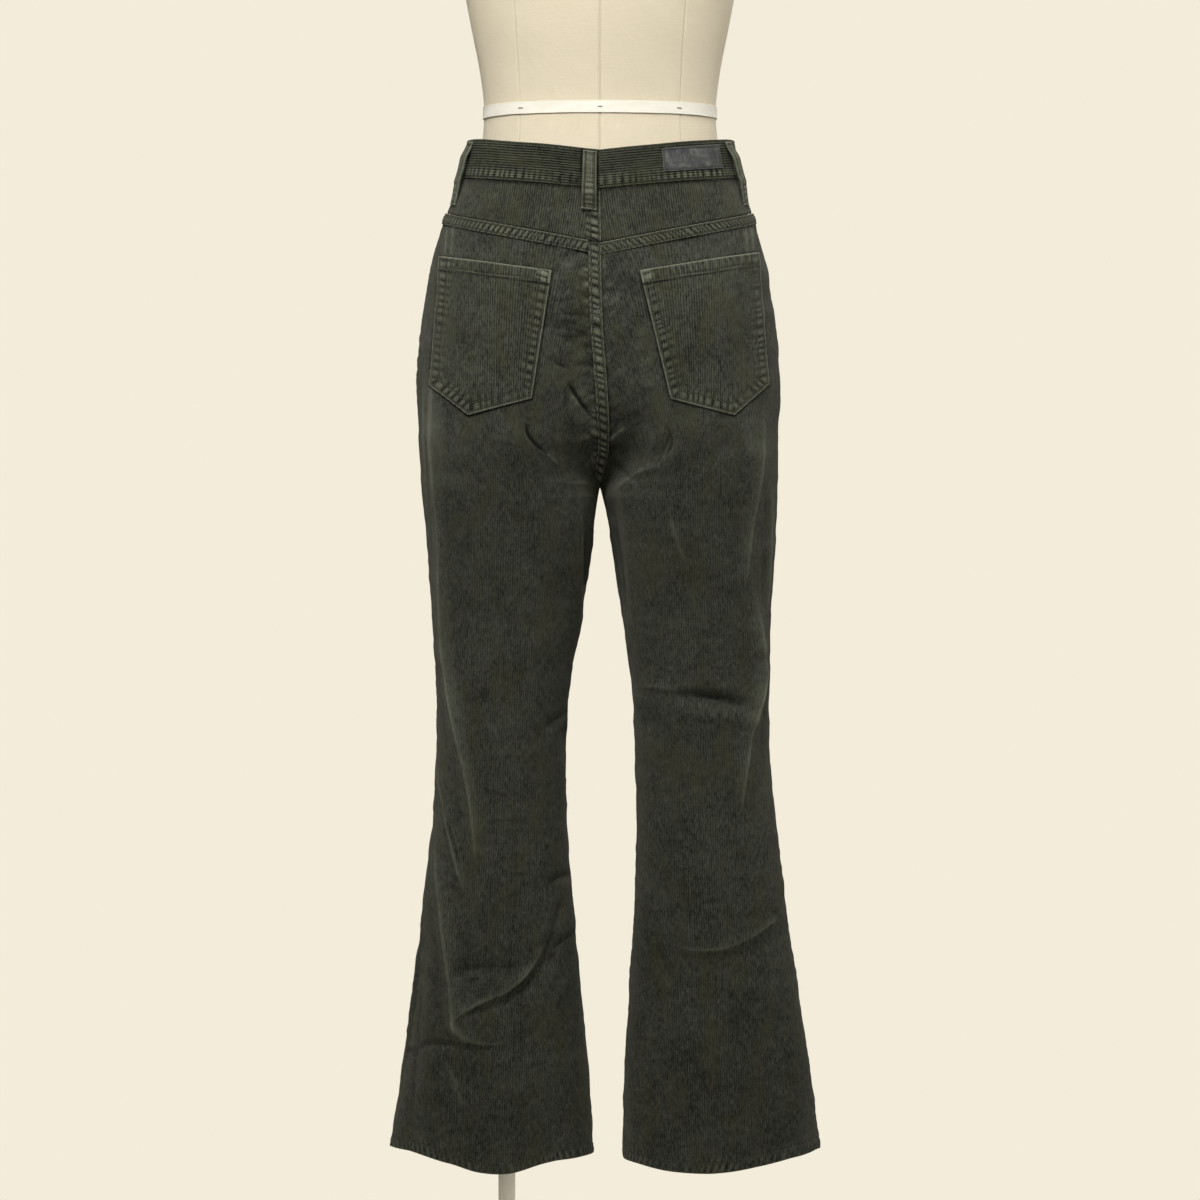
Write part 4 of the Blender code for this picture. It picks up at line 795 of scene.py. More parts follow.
def tube_faces(index):
    """Faces of a tube over a grid of point numbers, a ring to each row, with both ends closed."""
    return [grid_faces(joined_round(index)), index[:1, ::-1], index[-1:]]


def rim_faces(fine, coarse, step):
    """Faces between the edge of a fine skin and the edge of a skin with fewer points."""
    rows = []
    for i in range(len(coarse) - 1):
        rows.append([*fine[i * step : (i + 1) * step + 1][::-1], coarse[i], coarse[i + 1]])
    return np.array(rows)


def shell(name, outer, inner, uv, tone, finish, step=1, closed=False):
    """A closed thin shell from two grids of points, the inner with only every step-th row and column."""
    rows, columns = outer.shape[:2]
    inner = inner[::step, ::step]
    inner_count = inner[..., 0].size
    out = np.arange(rows * columns).reshape(rows, columns)
    into = rows * columns + np.arange(inner_count).reshape(inner.shape[:2])
    if closed:
        out, into = joined_round(out), joined_round(into)
    faces = [grid_faces(out), grid_faces(into)[:, ::-1]]
    rims = [(out[0], into[0], 1), (out[-1], into[-1], -1)]
    if not closed:
        rims += [(out[:, -1], into[:, -1], 1), (out[:, 0], into[:, 0], -1)]
    faces += [rim_faces(fine, coarse, step)[:, ::way] for fine, coarse, way in rims]
    i, j = rows // 2, columns // 2
    normal = np.cross(outer[i, j + 1] - outer[i, j], outer[i + 1, j] - outer[i, j])
    if normal @ (outer[i, j] - inner[i // step, j // step]) < 0:
        faces = [f[:, ::-1] for f in faces]
    points = np.concatenate([outer.reshape(-1, 3), inner.reshape(-1, 3)])
    uv_all = np.concatenate([uv.reshape(-1, 2), uv[::step, ::step].reshape(-1, 2)])
    tone_all = np.concatenate([tone.ravel(), np.zeros(inner_count)])
    return mesh_object(name, points, faces, finish, uv_all, tone_all)


def raised(name, base, normal, thickness, uv, tone, finish):
    """A shell that lies on the points of base and is this thick along their normals."""
    return shell(name, base + normal * thickness[..., None], base, uv, tone, finish)


def graded(length, spacing):
    """Shares of a length, closer together at both ends, where an edge is rolled."""
    edge = np.array([0.0, 0.0004, 0.0009, 0.0016, 0.0024])
    count = max(2, round((length - 2 * edge[-1]) / spacing) + 1)
    middle = np.linspace(edge[-1], length - edge[-1], count)[1:-1]
    return np.concatenate([edge, middle, length - edge[::-1]]) / length


# ================= materials =================
def linear(red, green, blue):
    """A colour given in sRGB, 0 to 255, as the linear values that Blender takes."""
    share = np.array([red, green, blue]) / 255
    value = np.where(share <= 0.04045, share / 12.92, ((share + 0.055) / 1.055) ** 2.4)
    return (*value.tolist(), 1.0)


class Value:
    """A node's output, in sums and products that add math nodes."""

    def __init__(self, nodes, socket):
        self.nodes = nodes
        self.socket = socket

    def __add__(self, other):
        return self.nodes.math("ADD", self, other)

    def __sub__(self, other):
        return self.nodes.math("SUBTRACT", self, other)

    def __mul__(self, other):
        return self.nodes.math("MULTIPLY", self, other)

    def __truediv__(self, other):
        return self.nodes.math("DIVIDE", self, other)

    def __pow__(self, other):
        return self.nodes.math("POWER", self, other)


class Nodes:
    """Short calls that add nodes to the tree of a material or the world."""

    def __init__(self, owner):
        owner.use_nodes = True
        self.tree = owner.node_tree

    def add(self, kind, inputs, output=0, **settings):
        node = self.tree.nodes.new(kind)
        for key, value in settings.items():
            setattr(node, key, value)
        for key, value in inputs.items():
            if isinstance(value, Value):
                self.tree.links.new(value.socket, node.inputs[key])
            else:
                node.inputs[key].default_value = value
        return None if output is None else Value(self, node.outputs[output])

    def math(self, operation, a, b=0.0, clamp=False):
        return self.add("ShaderNodeMath", {0: a, 1: b}, operation=operation, use_clamp=clamp)

    def remap(self, value, low, high, to_low=0.0, to_high=1.0):
        inputs = {0: value, 1: low, 2: high, 3: to_low, 4: to_high}
        return self.add("ShaderNodeMapRange", inputs, clamp=True)


class Surface(Nodes):
    """A new material, with what its colour and bump are made from."""

    def __init__(self, name, roughness, specular=0.3, metallic=0.0, sheen=0.0, sheen_tint=(1, 1, 1, 1)):
        self.material = bpy.data.materials.new(name)
        super().__init__(self.material)
        self.inputs = self.tree.nodes["Principled BSDF"].inputs
        self.inputs["Roughness"].default_value = roughness
        self.inputs["Specular IOR Level"].default_value = specular
        self.inputs["Metallic"].default_value = metallic
        self.inputs["Sheen Weight"].default_value = sheen
        self.inputs["Sheen Roughness"].default_value = 0.45
        self.inputs["Sheen Tint"].default_value = sheen_tint

    def place(self):
        """The cloth's own coordinates in metres, across and along its grain."""
        uv = self.add("ShaderNodeUVMap", {}, uv_map="cloth")
        return [self.add("ShaderNodeSeparateXYZ", {0: uv}, axis) for axis in (0, 1)]

    def wave(self, value, rate=math.pi):
        """Rounded ridges from 0 to 1, one for each half turn."""
        return self.math("ABSOLUTE", self.math("SINE", value * rate))

    def spread(self, x, y, width, length, detail=2.0, seed=0.0, rough=0.5):
        """Noise from 0 to 1 with bumps of about width across and length along the grain."""
        vector = self.add("ShaderNodeCombineXYZ", {0: x / width, 1: y / length, 2: seed})
        inputs = {"Vector": vector, "Scale": 1.0, "Detail": detail, "Roughness": rough}
        return self.add("ShaderNodeTexNoise", inputs)

    def mottle(self, scale, detail, rough=0.5):
        """Noise from 0 to 1 in the object's space, for what has no grain."""
        space = self.add("ShaderNodeTexCoord", {}, "Object")
        inputs = {"Vector": space, "Scale": scale, "Detail": detail, "Roughness": rough}
        return self.add("ShaderNodeTexNoise", inputs)

    def mix(self, factor, a, b):
        return self.add("ShaderNodeMix", {0: factor, 6: a, 7: b}, 2, data_type="RGBA")

    def tint(self, base, color, value, low, high, most=1.0):
        """The base colour, turning to another as value goes from low to high."""
        return self.mix(self.remap(value, low, high, 0.0, most), base, color)

    def wear_and_shade(self):
        return self.add("ShaderNodeAttribute", {}, 2, attribute_name="wear_and_shade")

    def finished(self, color, height, depth):
        """The material, with this colour and a bump of this depth."""
        bump = self.add("ShaderNodeBump", {"Height": height, "Distance": depth, "Strength": 1.0})
        self.tree.links.new(color.socket, self.inputs["Base Color"])
        self.tree.links.new(bump.socket, self.inputs["Normal"])
        return self.material


WALE = 0.0024  # from one wale to the next
PILE_ROWS = [  # width and length of the bumps, how strongly they show, detail, seed
    (0.0014, 0.0055, 1.10, 2.0, 2.0),  # single tufts and rubbed dashes
    (0.0020, 0.0022, 0.80, 1.0, 3.0),  # pile lying this way and that
    (0.0036, 0.0075, 0.90, 2.0, 4.0),  # streaks along a few wales
    (0.0115, 0.0140, 0.58, 2.0, 5.0),
    (0.0400, 0.0600, 0.62, 3.0, 6.0),  # uneven fading of the dye
]


def corduroy(name, dark, light, grain=1.0, contrast=1.0, pitch=WALE, wander=0.9, shade_ramp=0.0):
    """Needle-cord: rounded wales with fine pile, faded in dashes along them, worn where it rubs, and with
    painted light and shade.
    """
    n = Surface(name, 0.94, specular=0.08, sheen=0.30, sheen_tint=linear(150, 150, 138))
    x, y = n.place()
    drift = n.spread(x, y, 0.010, 0.050, 1.0, 1.0)
    wale = n.wave(x / pitch + drift * wander) ** 0.7
    level = (wale - 0.68) * (0.45 * contrast)
    tufts = None
    for width, length, weight, detail, seed in PILE_ROWS:
        bumps = n.spread(x, y, width, length, detail, seed)
        tufts = tufts or bumps
        level = level + (bumps - 0.5) * (grain * weight)
    # painted light and shade by height: lighter up the leg, darker towards the hem and under the seat
    level = level + n.remap(y, 0.28, 0.62, -shade_ramp, shade_ramp)
    level = level - n.remap(y, 0.88, 0.98, 0.0, 1.3 * shade_ramp)
    base = n.mix(n.math("ADD", level, 0.44, clamp=True), dark, light)
    olive = n.spread(x, y, 0.024, 0.070, 2.0, 21.0)
    base = n.tint(base, linear(60, 60, 38), olive, 0.50, 0.68, 0.34)
    wear_and_shade = n.wear_and_shade()
    # the worn colour where wear_and_shade is positive stands for worn pile and for painted highlight on
    # crests
    worn_and_lit = n.mix(n.remap(wear_and_shade, 0.05, 1.0) * (tufts + 0.45), base, linear(116, 119, 104))
    # near black where wear_and_shade is negative: painted shade
    color = n.tint(worn_and_lit, linear(13, 13, 11), wear_and_shade, -0.05, -0.9, 0.92)
    return n.finished(color, wale + tufts * 0.6, 0.00045)


def linen(name):
    """Natural slubbed linen in plain weave, with small dark flecks."""
    n = Surface(name, 0.88, specular=0.2, sheen=0.08)
    x, y = n.place()
    warp = n.wave(x, math.pi / 0.00062)
    weft = n.wave(y, math.pi / 0.00066)
    slub = n.spread(x, y, 0.022, 0.0011, 3.0, 7.0)
    slub_up = n.spread(x, y, 0.0012, 0.030, 3.0, 8.0)
    cloud = n.spread(x, y, 0.060, 0.060, 3.0, 9.0)
    fleck = n.spread(x, y, 0.0022, 0.0012, 1.0, 10.0)
    level = (cloud - 0.5) * 0.3
    for share, value in ((0.42, slub), (0.42, slub_up), (0.14, warp), (0.14, weft)):
        level = level + (value - 0.5) * share
    base = n.mix(n.math("ADD", level, 0.5, clamp=True), linear(211, 200, 173), linear(237, 227, 205))
    base = n.tint(base, linear(150, 132, 100), fleck, 0.70, 0.80, 0.35)
    # painted shade in the form's sunk seams, from negative wear_and_shade
    color = n.tint(base, linear(140, 124, 96), n.wear_and_shade(), -0.02, -0.9, 0.40)
    return n.finished(color, warp * weft + slub, 0.00018)


def woven_tape(name):
    """White cotton tape with a close twill."""
    n = Surface(name, 0.8, specular=0.25)
    x, y = n.place()
    twill = n.wave(x / 0.0011 + y / 0.0011)
    soil = n.spread(x, y, 0.020, 0.006, 3.0, 11.0)
    base = n.mix(soil, linear(228, 224, 210), linear(247, 245, 236))
    return n.finished(n.tint(base, linear(176, 168, 148), n.wear_and_shade(), -0.02, -0.9), twill, 0.00012)


def leather(name):
    """Thin blue-grey leather, washed and rubbed at its edges and wrinkles, with painted shade in the
    wrinkles' troughs and the stitch groove.
    """
    n = Surface(name, 0.72, specular=0.3)
    x, y = n.place()
    grain = n.spread(x, y, 0.0011, 0.0011, 4.0, 12.0, 0.65)
    cloud = n.spread(x, y, 0.006, 0.018, 4.0, 13.0, 0.6)
    crackle = n.spread(x, y, 0.0016, 0.0085, 4.0, 14.0, 0.7)
    level = n.math("ADD", cloud * 0.65, grain * 0.35, clamp=True)
    base = n.mix(n.remap(level, 0.3, 0.7), linear(46, 48, 49), linear(74, 77, 78))
    base = n.mix(n.remap(crackle, 0.54, 0.68) * 0.65, base, linear(104, 103, 97))
    wear_and_shade = n.wear_and_shade()
    base = n.tint(base, linear(122, 121, 113), wear_and_shade, 0.05, 0.9)
    color = n.tint(base, linear(30, 30, 28), wear_and_shade, -0.05, -0.9)
    return n.finished(color, grain + crackle * 0.6, 0.00022)


def thread(name, shade):
    """Cotton sewing thread with its twist."""
    n = Surface(name, 0.75, specular=0.25)
    twist = n.mottle(900.0, 2.0)
    return n.finished(n.mix(twist, tuple(c * 0.7 for c in shade[:3]) + (1.0,), shade), twist, 0.00008)


def metal(name, dark, light):
    """Aged metal, brown in its hollows."""
    n = Surface(name, 0.42, metallic=1.0, specular=0.5)
    stain = n.mottle(420.0, 4.0, 0.6)
    return n.finished(n.mix(n.remap(stain, 0.35, 0.65), dark, light), stain, 0.00005)


def enamel(name):
    """Cream satin enamel on metal, with faint mottling and the fine unevenness of a sprayed coat."""
    n = Surface(name, 0.38, specular=0.4)
    cloud = n.remap(n.mottle(9.0, 4.0), 0.35, 0.65)
    peel = n.mottle(420.0, 2.0)
    return n.finished(n.mix(cloud, linear(249, 245, 233), linear(252, 248, 238)), peel, 0.00006)


corduroy_cloth = corduroy("corduroy_cloth", linear(26, 27, 24), linear(75, 77, 69), shade_ramp=0.06)
corduroy_faded = corduroy("corduroy_faded", linear(25, 26, 23), linear(74, 76, 66), grain=1.1, contrast=1.9)
corduroy_band = corduroy("corduroy_band", linear(7, 8, 6), linear(70, 73, 62), 1.2, 4.6, 0.0025, 0.3)
linen_cloth = linen("linen_cloth")
tape_cloth = woven_tape("tape_cloth")
patch_leather = leather("patch_leather")
olive_thread = thread("olive_thread", linear(84, 85, 70))
aged_brass = metal("aged_brass", linear(78, 68, 48), linear(150, 134, 100))
pin_steel = metal("pin_steel", linear(62, 58, 52), linear(104, 100, 92))
stand_enamel = enamel("stand_enamel")


# ================= the panels =================
def leg_panel_relief(side, face, u, h, x, z):
    """Height, and wear with painted shade, that the seams, the hem and the pocket's edge give to a leg
    panel.
    """
    from_side, to_inner, _ = across(side, face, u, h)
    seed = 20 + 2 * side + face
    above_hem = h * LEG_LENGTH
    hem = 1 - ease(above_hem, HEM_ROW + 0.006, HEM_ROW + 0.016)
    bulge, rub_and_shade = sewn(above_hem, from_side, (HEM_ROW,), seed, slant=0.5, reach=0.004)
    folded = np.sin(np.pi * np.clip(above_hem / HEM_ROW, 0, 1))
    folded = folded * ladder(from_side + 0.4 * above_hem, RUNG, seed)
    height = hem * (bulge + 0.8 * PUCKER * folded) + 0.0005 * (1 - ease(above_hem, 0.0105, 0.0125))
    marked = 0.65 + 0.45 * noise(from_side / 0.060, 0.5, seed + 3)
    # hem puckers: crests lighter as worn pile, troughs darker, weighted more, as painted shade
    folded = np.where(folded > 0, 0.45, 1.10) * folded * marked
    tone = hem * (0.9 * rub_and_shade + folded) + 0.45 * bell(above_hem, 0.0012)

    at_inseam = 1 - ease(h, 0.97, 1.0)
    for distance, spare, number, worn_and_lit in ((from_side, 1.0, 31, 0.55), (to_inner, at_inseam, 37, 0.35)):
        rungs = ladder(z + 0.6 * distance, 1.5 * RUNG, seed + number)
        drawn = rungs * (1 - fall(distance, 0.001)) * fall(distance, 0.006) * spare
        seam = spare * bell(distance, 0.0010)
        height += 0.00045 * drawn - 0.0005 * seam
        # painted shade along each seam's groove; puckers lighter on crests as worn pile and darker in
        # troughs as painted shade
        tone += worn_and_lit * drawn - 0.35 * seam

    if face > 0:
        below_band = body_z(side, face, u, 1 + BAND_T) - z
        drawn = drawn_up(from_side, RUNG, 61 + side, below_band, 0.005)
        around, _ = path_distance(x, z, *fly_path(0.0)[::6].T)
        height += 0.00035 * drawn
        # painted shadow under the waistband and round the fly's J
        tone += 0.25 * drawn - 0.4 * bell(below_band, 0.0016) - 0.8 * bell(around, 0.0018)
        return height, tone

    centre = ease(h, 1.03, 1.10)
    beyond = to_inner - (FELL_WIDTH if side < 0 else 0.0)
    ruffle = noise(x / 0.012 + z / 0.030, z / 0.0075 - x / 0.020, 57 + side)
    ruffle = ruffle * fall(beyond, 0.026 if side < 0 else 0.013) * centre
    slow = noise(x / 0.026 + z / 0.090, z / 0.020 - x / 0.060, 64) * ease(h, 1.05, 1.20)
    wrinkle = np.clip(1 - 5 * np.abs(noise(x / 0.020 + z / 0.050, z / 0.012 - x / 0.030, 66)), 0, 1)
    wrinkle = wrinkle * fall(beyond, 0.030) * centre * ease(beyond, 0.0, 0.002)
    drawn = drawn_up(z + SEAT_SLANT * to_inner, SEAT_RUNG, 53, beyond, 0.0045, 0.0015) * centre
    drawn = drawn * (1.0 if side < 0 else 0.45)
    inner_thigh_shade = (1 - ease(to_inner, 0.006, 0.030)) * (1 - ease(h, 0.98, 1.04))
    height += 0.0010 * ruffle + 0.0009 * slow - 0.0007 * wrinkle + 0.0006 * drawn
    # ruffles painted lighter on their bulges and darker in their hollows, wrinkles painted dark in their
    # troughs: painted light and shade with the relief
    tone += 0.45 * ruffle + 0.13 * slow - 0.42 * wrinkle + 0.60 * drawn
    # painted shade on the inner thighs, where the legs face each other, and painted shadow beside the
    # centre-back seam's raised band
    tone -= (0.34 if side > 0 else 0.12) * inner_thigh_shade
    tone -= (0.85 if side > 0 else 0.5) * centre * bell(beyond, 0.0013)

    under_band = body_z(side, face, u, 1 + YOKE_T) - z - FELL_WIDTH
    drawn = drawn_up(from_side - 0.3 * under_band, YOKE_RUNG, 59 + side, under_band, 0.0035, 0.0012)
    shadow = 0.35 + 0.35 * noise(from_side / 0.022, 0.5, 60 + side)
    height += 0.0004 * drawn
    tone += 0.40 * drawn - shadow * bell(under_band, 0.0022)

    corners = POCKETS["left" if side < 0 else "right"]
    around, _ = path_distance(x, z, *np.array([*corners, corners[0]]).T)
    beside_top = ease(np.abs(z - 1.106), 0.006, 0.012)
    # painted shadow just outside the pocket's edges, fainter along its opening
    tone -= (0.35 + 0.65 * beside_top) * bell(around, 0.0020)
    return height, tone


def fly_path(distance):
    """(x, z) down the fly's long edge and round its J, at a distance in from them."""
    reach = FLY_WIDTH - distance
    low = FLY_LOW_Z + distance
    z = np.linspace(1.170, low + FLY_BEND, 90)
    straight = np.stack([np.full(z.shape, FLY_EDGE_X - reach), z], axis=1)
    turn = np.linspace(0, np.pi / 2, 40)[1:]
    curve_x = FLY_EDGE_X - reach * np.cos(turn) ** 0.9
    curve_z = low + FLY_BEND - FLY_BEND * np.sin(turn)
    return np.concatenate([straight, np.stack([curve_x, curve_z], axis=1)])


def scoop_edge(t):
    """u of the front pocket's curved opening at share t of the rise, 0 below it."""
    share = np.clip((BAND_T - t) / (BAND_T - SCOOP_T), 0.0, 1.0)
    return SCOOP_U * (1 - share**2.3)


def panel_rows(face, count):
    """Rows of h from hem to seam, close together at the hem of a leg about 0.70 m long and then even."""
    top = 1 + (YOKE_T if face < 0 else BAND_T) - T_STEP
    hem = np.array([0.0, 0.0006, 0.0014, 0.0026]) / 0.70
    low = np.linspace(0.0040, 0.0220, 16 if face < 0 else 9) / 0.70
    left = count + 1 - len(hem) - len(low)
    high = np.linspace(low[-1], top, left + 1)[1:]
    return np.concatenate([hem, low, high])


def leg_panel(name, side, face):
    """Back or front panel from the hem to the yoke seam, or to the waistband in front."""
    columns, count = (148, 600) if face < 0 else (96, 320)
    h = panel_rows(face, count)
    start = scoop_edge(h - 1) if face > 0 else np.zeros(len(h))
    u = start[:, None] + (1 - start[:, None]) * np.linspace(0, 1, columns + 1)
    h = np.broadcast_to(h[:, None], u.shape)
    outer, normal, tone = cloth_point(side, face, u, h)
    height, rub_and_shade = leg_panel_relief(side, face, u, h, outer[..., 0], outer[..., 2])
    tone = tone + rub_and_shade
    if face > 0:
        from_scoop = across(side, face, u, h)[0] - across(side, face, start[:, None], h)[0]
        in_scoop = ease(h, 1 + SCOOP_T - 0.01, 1 + SCOOP_T + 0.02)
        bulge, rub_and_shade = sewn(from_scoop, h * RISE_LENGTH, ROWS, 71 + side)
        height = height * (1 - in_scoop * (from_scoop < 0.006)) + bulge * in_scoop
        tone = tone + in_scoop * (rub_and_shade + 0.5 * bell(from_scoop, 0.001))
    above_hem = h * LEG_LENGTH
    height = height - rolled(above_hem, 0.0009)
    thick = np.where(above_hem < HEM_HEIGHT, HEM_CLOTH, CLOTH)
    inner = outer - normal * thick[..., None] + slit(side, face, u, h)
    outer = outer + normal * height[..., None] + slit(side, face, u, h)
    return shell(name, outer, inner, grain_uv(side, face, u, h, outer[..., 2]), tone, corduroy_cloth, 4)


def shade_of_back_loop(side, to_inner, z=None):
    """1 in the shade along both edges of the back belt loop or, where z is given, under its foot."""
    loop_side, _, middle_u, _, _, foot = LOOPS["loop_back"]
    off_middle = np.abs(to_inner - across(side, -1, middle_u, 1 + BAND_T)[1])
    if z is None:
        return bell(off_middle - LOOP_WIDTH / 2 - 0.0006, 0.0011) * (side == loop_side)
    below = body_z(side, -1, middle_u, 1 + foot) - z - 0.0012
    inside = 1 - ease(off_middle, LOOP_WIDTH / 2, LOOP_WIDTH / 2 + 0.001)
    return inside * bell(below, 0.0014) * (side == loop_side)


def yoke(name, side):
    """The back yoke, from the yoke seam up to the waistband."""
    u, t = np.meshgrid(np.linspace(0, 1, 169), np.linspace(YOKE_T + T_STEP, BAND_T - T_STEP, 57))
    h = 1 + t
    outer, normal, tone = cloth_point(side, -1, u, h)
    z = outer[..., 2]
    from_side, to_inner, _ = across(side, -1, u, h)
    up = z - body_z(side, -1, u, 1 + YOKE_T)
    down = body_z(side, -1, u, 1 + BAND_T) - z
    rungs = ladder(from_side, RUNG, 81 + side)
    height = 0.0003 * rungs * np.exp(-down / 0.005) * ease(down, 0, 0.001) - 0.0007 * bell(up, 0.0012)
    shadow = 0.95 + 0.25 * noise(from_side / 0.030, 0.5, 88 + side)
    # painted shade along the yoke seam's groove, and below it painted shadow under the waistband
    tone = tone - 0.75 * bell(up, 0.0012) + 0.25 * rungs * np.exp(-down / 0.006)
    tone = tone - shadow * bell(down, 0.0029)
    if side < 0:
        bulge, rub_and_shade = sewn(to_inner, z, FELL_ROWS, 83, pitch=0.0062, slant=SEAT_SLANT, depth=0.0008)
        rub_and_shade = 0.10 + 1.5 * rub_and_shade + 0.75 * bell(to_inner, 0.0010)
    else:
        rungs = ladder(z + SEAT_SLANT * to_inner, RUNG, 84) * fall(to_inner, 0.004)
        # painted shade along the centre-back seam
        bulge, rub_and_shade = 0.0004 * rungs, 0.3 * rungs - 0.75 * bell(to_inner, 0.0013)
    fade = fall(to_inner - 0.013, 0.003)
    foot = LOOPS["loop_back"][-1]
    tone += rub_and_shade * fade - 0.8 * shade_of_back_loop(side, to_inner) * ease(t, foot, foot + 0.012)
    tone -= shade_of_back_loop(side, to_inner, z)
    height += bulge * fade + 0.0004 * drawn_up(z + 0.6 * from_side, 1.4 * RUNG, 87 + side, from_side, 0.005)
    inner = outer - normal * CLOTH + slit(side, -1, u, h)
    outer = outer + normal * height[..., None] + slit(side, -1, u, h)
    return shell(name, outer, inner, grain_uv(side, -1, u, h, z, YOKE_LEAN), tone, corduroy_faded, 4)


def pocket_facing(name, side):
    """The piece that shows in the front pocket's opening, one cloth under the panel."""
    t = np.linspace(SCOOP_T - 0.03, BAND_T - T_STEP, 61)
    u = (scoop_edge(t) + FACING_TUCK_U)[:, None] * np.linspace(0, 1, 49)
    h = np.broadcast_to(1 + t[:, None], u.shape)
    point = body_point(side, 1, u, h)
    normal = body_normal(side, 1, u, h)
    sunk = sway(side, 1, point[..., 0], point[..., 2], h) * ease(u, 0.0, 0.06) - CLOTH - FACING_GAP
    outer = point + normal * sunk[..., None] + slit(side, 1, u, h)
    uv = grain_uv(side, 1, u, h, point[..., 2])
    return shell(name, outer, outer - normal * CLOTH, uv, np.zeros(u.shape), corduroy_cloth, 4)


def band_stations(side):
    """(side, face, u) of each column of half the waistband, from the centre back to the fly's edge."""
    last = moved_u(1, 1, [1.95], 1.0, -(FLY_EDGE_X + side * GAP / 2))[0]
    back = [(side, -1, u) for u in np.linspace(1, 0, 161)]
    front = [(side, 1, u) for u in np.linspace(0, 1 if side < 0 else last, 81)[1:]]
    past_centre = [(1, 1, 1 + (last - 1) * k / 4) for k in range(1, 5)] if side < 0 else []
    return back + front + past_centre


def waistband(name, side):
    """Half the waistband, with a row of stitches at each edge and its wales running round."""
    stations = band_stations(side)
    low, high = 1 + BAND_T + T_STEP, 2.0
    share = graded(BAND_HEIGHT, 0.0016)
    t = low + (high - low) * share
    point = np.stack([body_point(*station, t) for station in stations], axis=1)
    normal = np.stack([body_normal(*station, t) for station in stations], axis=1)
    point[:, 0, 0] = side * SEAM_SLIT
    point[:, -1, 0] = FLY_EDGE_X + side * GAP / 2
    normal[:, -1, 0] = 0.0
    normal = unit(normal)
    along = np.broadcast_to(lengths_along(point[len(t) // 2]), point.shape[:2])
    up = np.broadcast_to((share * BAND_HEIGHT)[:, None], along.shape)
    down = BAND_HEIGHT - up

    bulge, rub_and_shade = sewn(up, along, (BAND_ROW,), 91 + side, reach=0.0100, depth=0.0007)
    height = bulge * fall(up, 0.016)
    tone = 1.5 * rub_and_shade * (1 - ease(up, 0.009, 0.017)) + 0.35 * bell(up - 0.0006, 0.0008)
    tone = tone - 0.16 * ease(up, 0.010, 0.018)
    bulge, rub_and_shade = sewn(down, along, (BAND_ROW,), 95 + side, reach=0.002, depth=0.00025)
    height = height + 0.6 * bulge + 0.0003 * noise(along / 0.022, up / 0.012, 97 + side)
    tone = tone + 0.4 * rub_and_shade + 0.18 * noise(along / 0.030, up / 0.004, 98) - 0.06
    tone = tone - 0.9 * shade_of_back_loop(side, along)
    arch = np.sin(np.pi * np.clip(along / along.max(), 0, 1))
    slack = 0.0006 * noise(along / 0.060, 3.5, 99 + side) * arch
    waist_dip = 0.0012 * noise(along / 0.045, 1.5, 101 + side) * share[:, None] * arch
    shift = normal * slack[..., None] + waist_dip[..., None] * [0.0, 0.0, 1.0]
    out = BAND_OUT + height - rolled(up, 0.0013) - rolled(down, 0.0016)
    back = BAND_IN - rolled(up, 0.001) - rolled(down, 0.0014)
    outer = point + normal * out[..., None] + shift
    inner = point - normal * back[..., None] + shift
    return shell(name, outer, inner, np.stack([up + 5.0 + side, along], axis=-1), tone, corduroy_band)


# ================= pieces sewn on the panels =================
def pocket_lattice(corners):
    """(x, z) over a pocket: rows from its top to its pointed bottom, columns from the outer edge in."""
    outer_top, inner_top, inner_bottom, tip, outer_bottom = np.array(corners)
    a = graded(np.linalg.norm(inner_top - outer_top), 0.00125)
    b = graded(np.linalg.norm(inner_bottom - inner_top), 0.0014)
    to_tip = np.linalg.norm(tip - outer_bottom)
    tip_share = to_tip / (to_tip + np.linalg.norm(inner_bottom - tip))
    near = np.argmin(np.abs(a - tip_share))
    a = np.interp(np.arange(len(a)), [0, near, len(a) - 1], [0, tip_share, 1]) * 0.35 + a * 0.65
    a[near] = tip_share
    before = np.clip(a / tip_share, 0, 1)[:, None]
    after = np.clip((a - tip_share) / (1 - tip_share), 0, 1)[:, None]
    bottom = outer_bottom + (tip - outer_bottom) * before + (inner_bottom - tip) * after
    top = outer_top + (inner_top - outer_top) * a[:, None]
    return top[None] * (1 - b[:, None, None]) + bottom[None] * b[:, None, None]


def side_distance(x, z, start, end):
    """Distance in from one straight side of a pocket, and along it from its start."""
    start, end = np.array(start), np.array(end)
    way = unit(end - start)
    off_x, off_z = x - start[0], z - start[1]
    return np.abs(off_x * way[1] - off_z * way[0]), off_x * way[0] + off_z * way[1]


